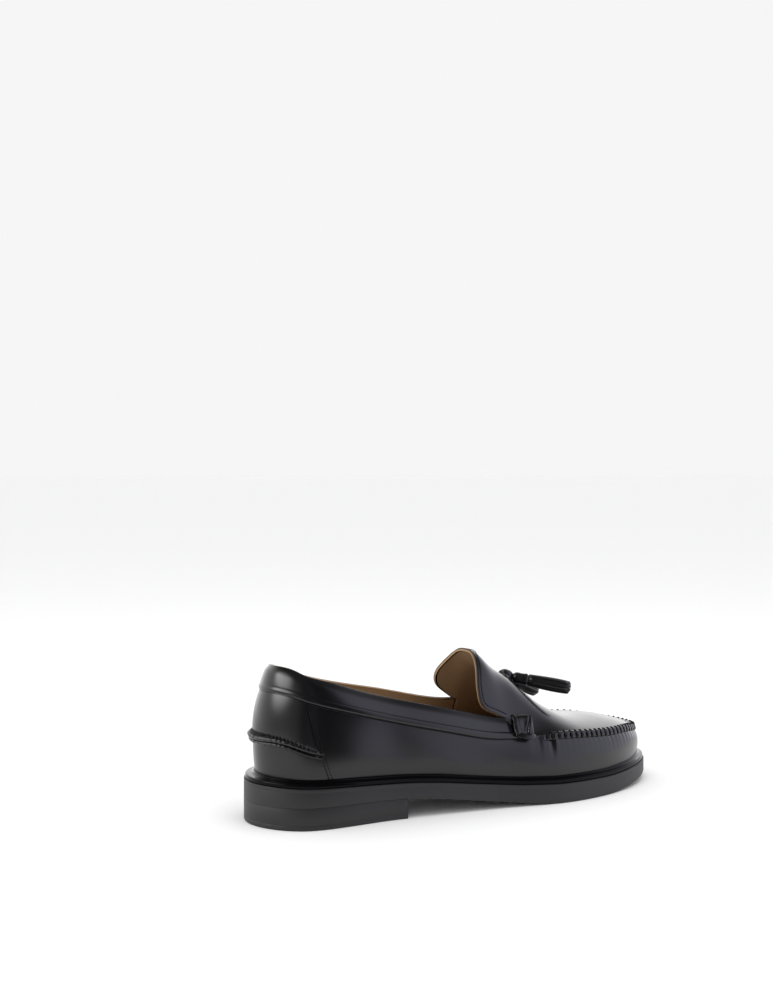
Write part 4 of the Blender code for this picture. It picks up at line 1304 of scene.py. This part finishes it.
def build_insole():
    """The leather footbed, a little cupped, with a soft edge."""
    last = edge_last(120)

    def loop(rounded, lift):
        def inset(share, _side):
            widest = np.max([wall_inset(share, row) for row in (0.0, 0.1, 0.2)], axis=0)
            return widest + WALL + 0.6 * GAP + rounded

        return last.ring(inset, lambda _share, _side, plan: sole_top(plan[:, 0]) + GAP + lift)

    top = INSOLE_THICKNESS
    loops = [loop(0, 0), loop(0, 0.75 * top), loop(0.1 * top, 0.93 * top), loop(0.35 * top, top)]
    loops += [loop(part * MM, top - 0.05 * MM * part) for part in (1.5, 4.0, 7.0, 11.0)]
    loop_stack("insole_footbed", loops, "footbed", "insole")


# The stage


def studio_world():
    """An even pale room; the leather sees it dark overhead and by the camera, with a glow at the heel."""
    stage = bpy.context.scene.loafer_stage
    world = bpy.data.worlds.new("studio")
    bpy.context.scene.world = world
    world.use_nodes = True
    tree = world.node_tree
    way = add_node(tree, "TexCoord").outputs["Generated"]
    split = add_node(tree, "SeparateXYZ", {0: way}).outputs
    turn = math_node(tree, "ARCTAN2", split["Y"], split["X"])
    share = math_node(tree, "ADD", math_node(tree, "DIVIDE", turn, 2 * math.pi), 0.5)
    ramp = add_node(tree, "ValToRGB", {"Fac": share})
    ramp.color_ramp.interpolation = "EASE"
    stops = ramp.color_ramp.elements
    for i, (degrees, level, cool) in enumerate(STUDIO_ROUND):
        position = (degrees + 180) / 360
        stop = stops[i] if i < 2 else stops.new(position)
        stop.position = position
        stop.color = (*(level * (1 + cool * part) for part in COOL_TINT), 1)
    dark = stage.ceiling_brightness
    overhead = ranged(tree, split["Z"], (*CEILING_RISE, 0.0, 1.0))
    colour = mixed(tree, overhead, ramp.outputs["Color"], (dark, dark, dark, 1))
    towards = add_node(tree, "VectorMath", {0: way, 1: HEEL_GLOW_WAY}, operation="DOT_PRODUCT")
    glow = ranged(tree, towards.outputs["Value"], (*HEEL_GLOW_SPREAD, 1.0, HEEL_GLOW))
    seen = add_node(tree, "Background", {"Color": colour, "Strength": glow}).outputs[0]
    rays = add_node(tree, "LightPath").outputs
    levels = (0, 1, stage.room_brightness, stage.backdrop_brightness)
    shown = ranged(tree, rays["Is Camera Ray"], levels, "LINEAR")
    plain = tree.nodes["Background"]
    feed(tree, plain.inputs["Color"], (1, 1, 1, 1))
    feed(tree, plain.inputs["Strength"], shown)
    either = add_node(tree, "MixShader", {"Fac": rays["Is Glossy Ray"], 1: plain.outputs[0], 2: seen})
    feed(tree, tree.nodes["World Output"].inputs["Surface"], either.outputs[0])


def stage_piece(name, corners, faces, colour, sheen):
    """A flat matte piece of the studio."""
    material = bpy.data.materials.new(f"{name}_paper")
    material.use_nodes = True
    for label, value in (("Base Color", (*colour, 1)), ("Roughness", 0.9), ("Specular IOR Level", sheen)):
        material.node_tree.nodes["Principled BSDF"].inputs[label].default_value = value
    mesh = bpy.data.meshes.new(name)
    mesh.from_pydata(corners, [], faces)
    mesh.materials.append(material)
    piece = added(name, mesh)
    return piece


def build_stage():
    """The floor, the card, the light and the camera."""
    stage = bpy.context.scene.loafer_stage
    near, far, side = stage.near_reach, stage.floor_reach, NEAR_FLOOR
    corners = [(x, y, 0) for x, y in ((-side, -near), (side, -near), (side, side), (-side, side),
                                      (-far, -far), (far, -far), (far, far), (-far, far))]
    around = [[i, i + 4, (i + 1) % 4 + 4, (i + 1) % 4] for i in range(4)]
    stage_piece("floor_near", corners, [[0, 1, 2, 3]], stage.floor_colour, 0.1)
    stage_piece("floor_far", corners, around, stage.floor_colour, 0.1).visible_glossy = False

    (left, right), y = stage.card_span, stage.card_place
    low, high = stage.card_foot, CARD_TOP
    corners = [(left, y, low), (right, y, low), (right, y, high), (left, y, high)]
    card = stage_piece("black_card", corners, [[0, 1, 2, 3]], (0, 0, 0), 0)
    card.visible_camera = card.visible_diffuse = card.visible_shadow = card.visible_transmission = False

    studio_world()
    lamp = bpy.data.lights.new("overhead_softbox", "AREA")
    lamp.shape, lamp.size, lamp.size_y = "RECTANGLE", *SOFTBOX_SIZE
    lamp.energy = stage.overhead_power
    light = added("overhead_softbox", lamp)
    turned = (-Vector(SOFTBOX_PLACE)).to_track_quat("-Z", "Y").to_matrix().to_4x4()
    light.matrix_world = Matrix.Translation(SOFTBOX_PLACE) @ turned
    light.visible_glossy = False

    camera_data = bpy.data.cameras.new("camera")
    camera_data.lens = CAMERA_LENS
    camera_data.sensor_width = 36
    camera = added("camera", camera_data)
    right, up, ahead = (Vector(way) for way in (CAMERA_RIGHT, CAMERA_UP, CAMERA_AHEAD))
    turned = Matrix((right, up, -ahead)).transposed().to_4x4()
    camera.matrix_world = Matrix.Translation(CAMERA_PLACE) @ turned
    bpy.context.scene.camera = camera
    bpy.context.scene.view_settings.view_transform = "Standard"


# Settings


def number_setting(name, tip, default, **more):
    return FloatProperty(name=name, description=tip, default=default, **more)


def length_setting(name, tip, default):
    return number_setting(name, tip, default, unit="LENGTH")


def share_setting(name, tip, default):
    return number_setting(name, tip, default, subtype="FACTOR", min=0.02, max=1)


def colour_setting(name, tip, default):
    return FloatVectorProperty(name=name, description=tip, default=default, size=3, subtype="COLOR")


class UpperSettings(bpy.types.PropertyGroup):
    gather_depth: length_setting("Gather Depth", "Depth of the gathers under the raised seam", 0.55 * MM)
    gather_reach: length_setting("Gather Reach", "How far the gathers run down the side", 6.5 * MM)


class SeamSettings(bpy.types.PropertyGroup):
    stitch_pitch: length_setting("Stitch Pitch", "Distance between the raised seam's stitches", 4.7 * MM)
    stitch_slant: length_setting("Stitch Slant", "How far each of these leans along the seam", 1.2 * MM)
    thread_radius: length_setting("Thread Radius", "Radius of the raised seam's waxed thread", 0.42 * MM)
    fine_pitch: length_setting("Fine Stitch Pitch", "Distance between the machine stitches", 2.0 * MM)
    fine_radius: length_setting("Fine Thread Radius", "Radius of the machine-sewn thread", 0.27 * MM)


class TrimSettings(bpy.types.PropertyGroup):
    strips: IntProperty(
        name="Outer Strips",
        description="Number of cut strips in a tassel's outer layer",
        default=17,
        min=6,
    )
    strip_thickness: length_setting("Strip Thickness", "Thickness of a tassel's cut strips", 0.75 * MM)


class FinishSettings(bpy.types.PropertyGroup):
    leather_colour: colour_setting("Leather", "Colour of upper, welt and tassels", (0.0038, 0.0038, 0.0044))
    lining_colour: colour_setting("Lining", "Colour of the lining and footbed", (0.355, 0.222, 0.117))
    edge_colour: colour_setting("Cut Edge", "Colour of the lining's undyed cut edge", (0.50, 0.30, 0.155))
    sole_colour: colour_setting("Sole", "Colour of the sole and heel block", (0.012, 0.012, 0.013))
    leather_roughness: share_setting("Leather Roughness", "Roughness of the polished leather", 0.24)
    sole_roughness: share_setting("Sole Roughness", "Roughness of the moulded sole", 0.55)


class StageSettings(bpy.types.PropertyGroup):
    near_reach: length_setting("Near Floor Reach", "How far in front the leather reflects the floor", 0.165)
    floor_reach: length_setting("Floor Reach", "Half the width of the plain floor", 30.0)
    floor_colour: colour_setting("Floor", "Colour of the plain floor", (0.98, 0.98, 0.98))
    room_brightness: number_setting("Room", "Brightness of the even room light", 0.93)
    backdrop_brightness: number_setting("Backdrop", "Brightness of the backdrop that the camera sees", 0.92)
    ceiling_brightness: number_setting("Ceiling", "Brightness overhead as the leather reflects it", 0.1)
    overhead_power: number_setting("Overhead Power", "Power of the softbox above the shoe", 7.0, unit="POWER")
    card_span: FloatVectorProperty(
        name="Card Span",
        description="Ends of the black card that only the polished leather reflects, along the shoe",
        default=(-0.125, -0.032),
        size=2,
        unit="LENGTH",
    )
    card_place: length_setting("Card Place", "Where the card stands beside the shoe", -0.135)
    card_foot: length_setting("Card Foot", "Height of the card's lower edge", 0.006)


class Step:
    """Runs the builders of one group of pieces."""

    builders = ()

    def execute(self, context):
        for build in self.builders:
            build()
        return {"FINISHED"}


class LOAFER_OT_finishes(Step, bpy.types.Operator):
    """Make every leather, thread, edge and rubber finish"""

    bl_idname = "loafer.finishes"
    bl_label = "Finishes"
    builders = (build_finishes,)


class LOAFER_OT_upper(Step, bpy.types.Operator):
    """Make the upper's leather with its gathers, and its lining"""

    bl_idname = "loafer.upper"
    bl_label = "Upper and Lining"
    builders = (build_upper, build_lining)


class LOAFER_OT_seams(Step, bpy.types.Operator):
    """Sew the raised seam, the collar band and the tongue"""

    bl_idname = "loafer.seams"
    bl_label = "Seams"
    builders = (build_seam, build_band, build_tongue_trim)


class LOAFER_OT_heel_ridge(Step, bpy.types.Operator):
    """Make the puckered piping round the heel, and the counter's stitches"""

    bl_idname = "loafer.heel_ridge"
    bl_label = "Heel Piping"
    builders = (build_heel_piping, build_counter_stitches)


class LOAFER_OT_bottom(Step, bpy.types.Operator):
    """Make the sole, heel block, welt and footbed"""

    bl_idname = "loafer.bottom"
    bl_label = "Sole, Heel, Welt and Footbed"
    builders = (build_outsole, build_heel_block, build_welt, build_insole)


class LOAFER_OT_tabs(Step, bpy.types.Operator):
    """Make the folded tabs over the ends of the raised seam"""

    bl_idname = "loafer.tabs"
    bl_label = "Tabs"
    builders = (build_tabs,)


class LOAFER_OT_tassels(Step, bpy.types.Operator):
    """Make the lace, its knot and the two tassels"""

    bl_idname = "loafer.tassels"
    bl_label = "Lace, Knot and Tassels"
    builders = (build_lace, build_tassels)


class LOAFER_OT_stage(Step, bpy.types.Operator):
    """Set the floor, the studio light and the camera"""

    bl_idname = "loafer.stage"
    bl_label = "Stage"
    builders = (build_stage,)


STEPS = (
    LOAFER_OT_finishes,
    LOAFER_OT_upper,
    LOAFER_OT_seams,
    LOAFER_OT_heel_ridge,
    LOAFER_OT_bottom,
    LOAFER_OT_tabs,
    LOAFER_OT_tassels,
    LOAFER_OT_stage,
)
SETTINGS = {
    "loafer_upper": UpperSettings,
    "loafer_seams": SeamSettings,
    "loafer_trim": TrimSettings,
    "loafer_finish": FinishSettings,
    "loafer_stage": StageSettings,
}


class LOAFER_PT_panel(bpy.types.Panel):
    """The loafer's pieces in the order they are made"""

    bl_idname = "LOAFER_PT_panel"
    bl_label = "Tassel Loafer"
    bl_space_type = "VIEW_3D"
    bl_region_type = "UI"
    bl_category = "Loafer"

    def draw(self, context):
        layout = self.layout
        for attribute, group in SETTINGS.items():
            box = layout.box()
            for label in group.__annotations__:
                box.prop(getattr(context.scene, attribute), label)
        for step in STEPS:
            layout.operator(step.bl_idname)


CLASSES = (*SETTINGS.values(), *STEPS, LOAFER_PT_panel)


def register():
    for each in CLASSES:
        bpy.utils.register_class(each)
    for attribute, group in SETTINGS.items():
        setattr(bpy.types.Scene, attribute, PointerProperty(type=group))


def unregister():
    for attribute in SETTINGS:
        delattr(bpy.types.Scene, attribute)
    for each in reversed(CLASSES):
        bpy.utils.unregister_class(each)


def main():
    register()
    bpy.ops.loafer.finishes()
    bpy.ops.loafer.upper()
    bpy.ops.loafer.seams()
    bpy.ops.loafer.heel_ridge()
    bpy.ops.loafer.bottom()
    bpy.ops.loafer.tabs()
    bpy.ops.loafer.tassels()
    bpy.ops.loafer.stage()


if __name__ == "__main__":
    main()
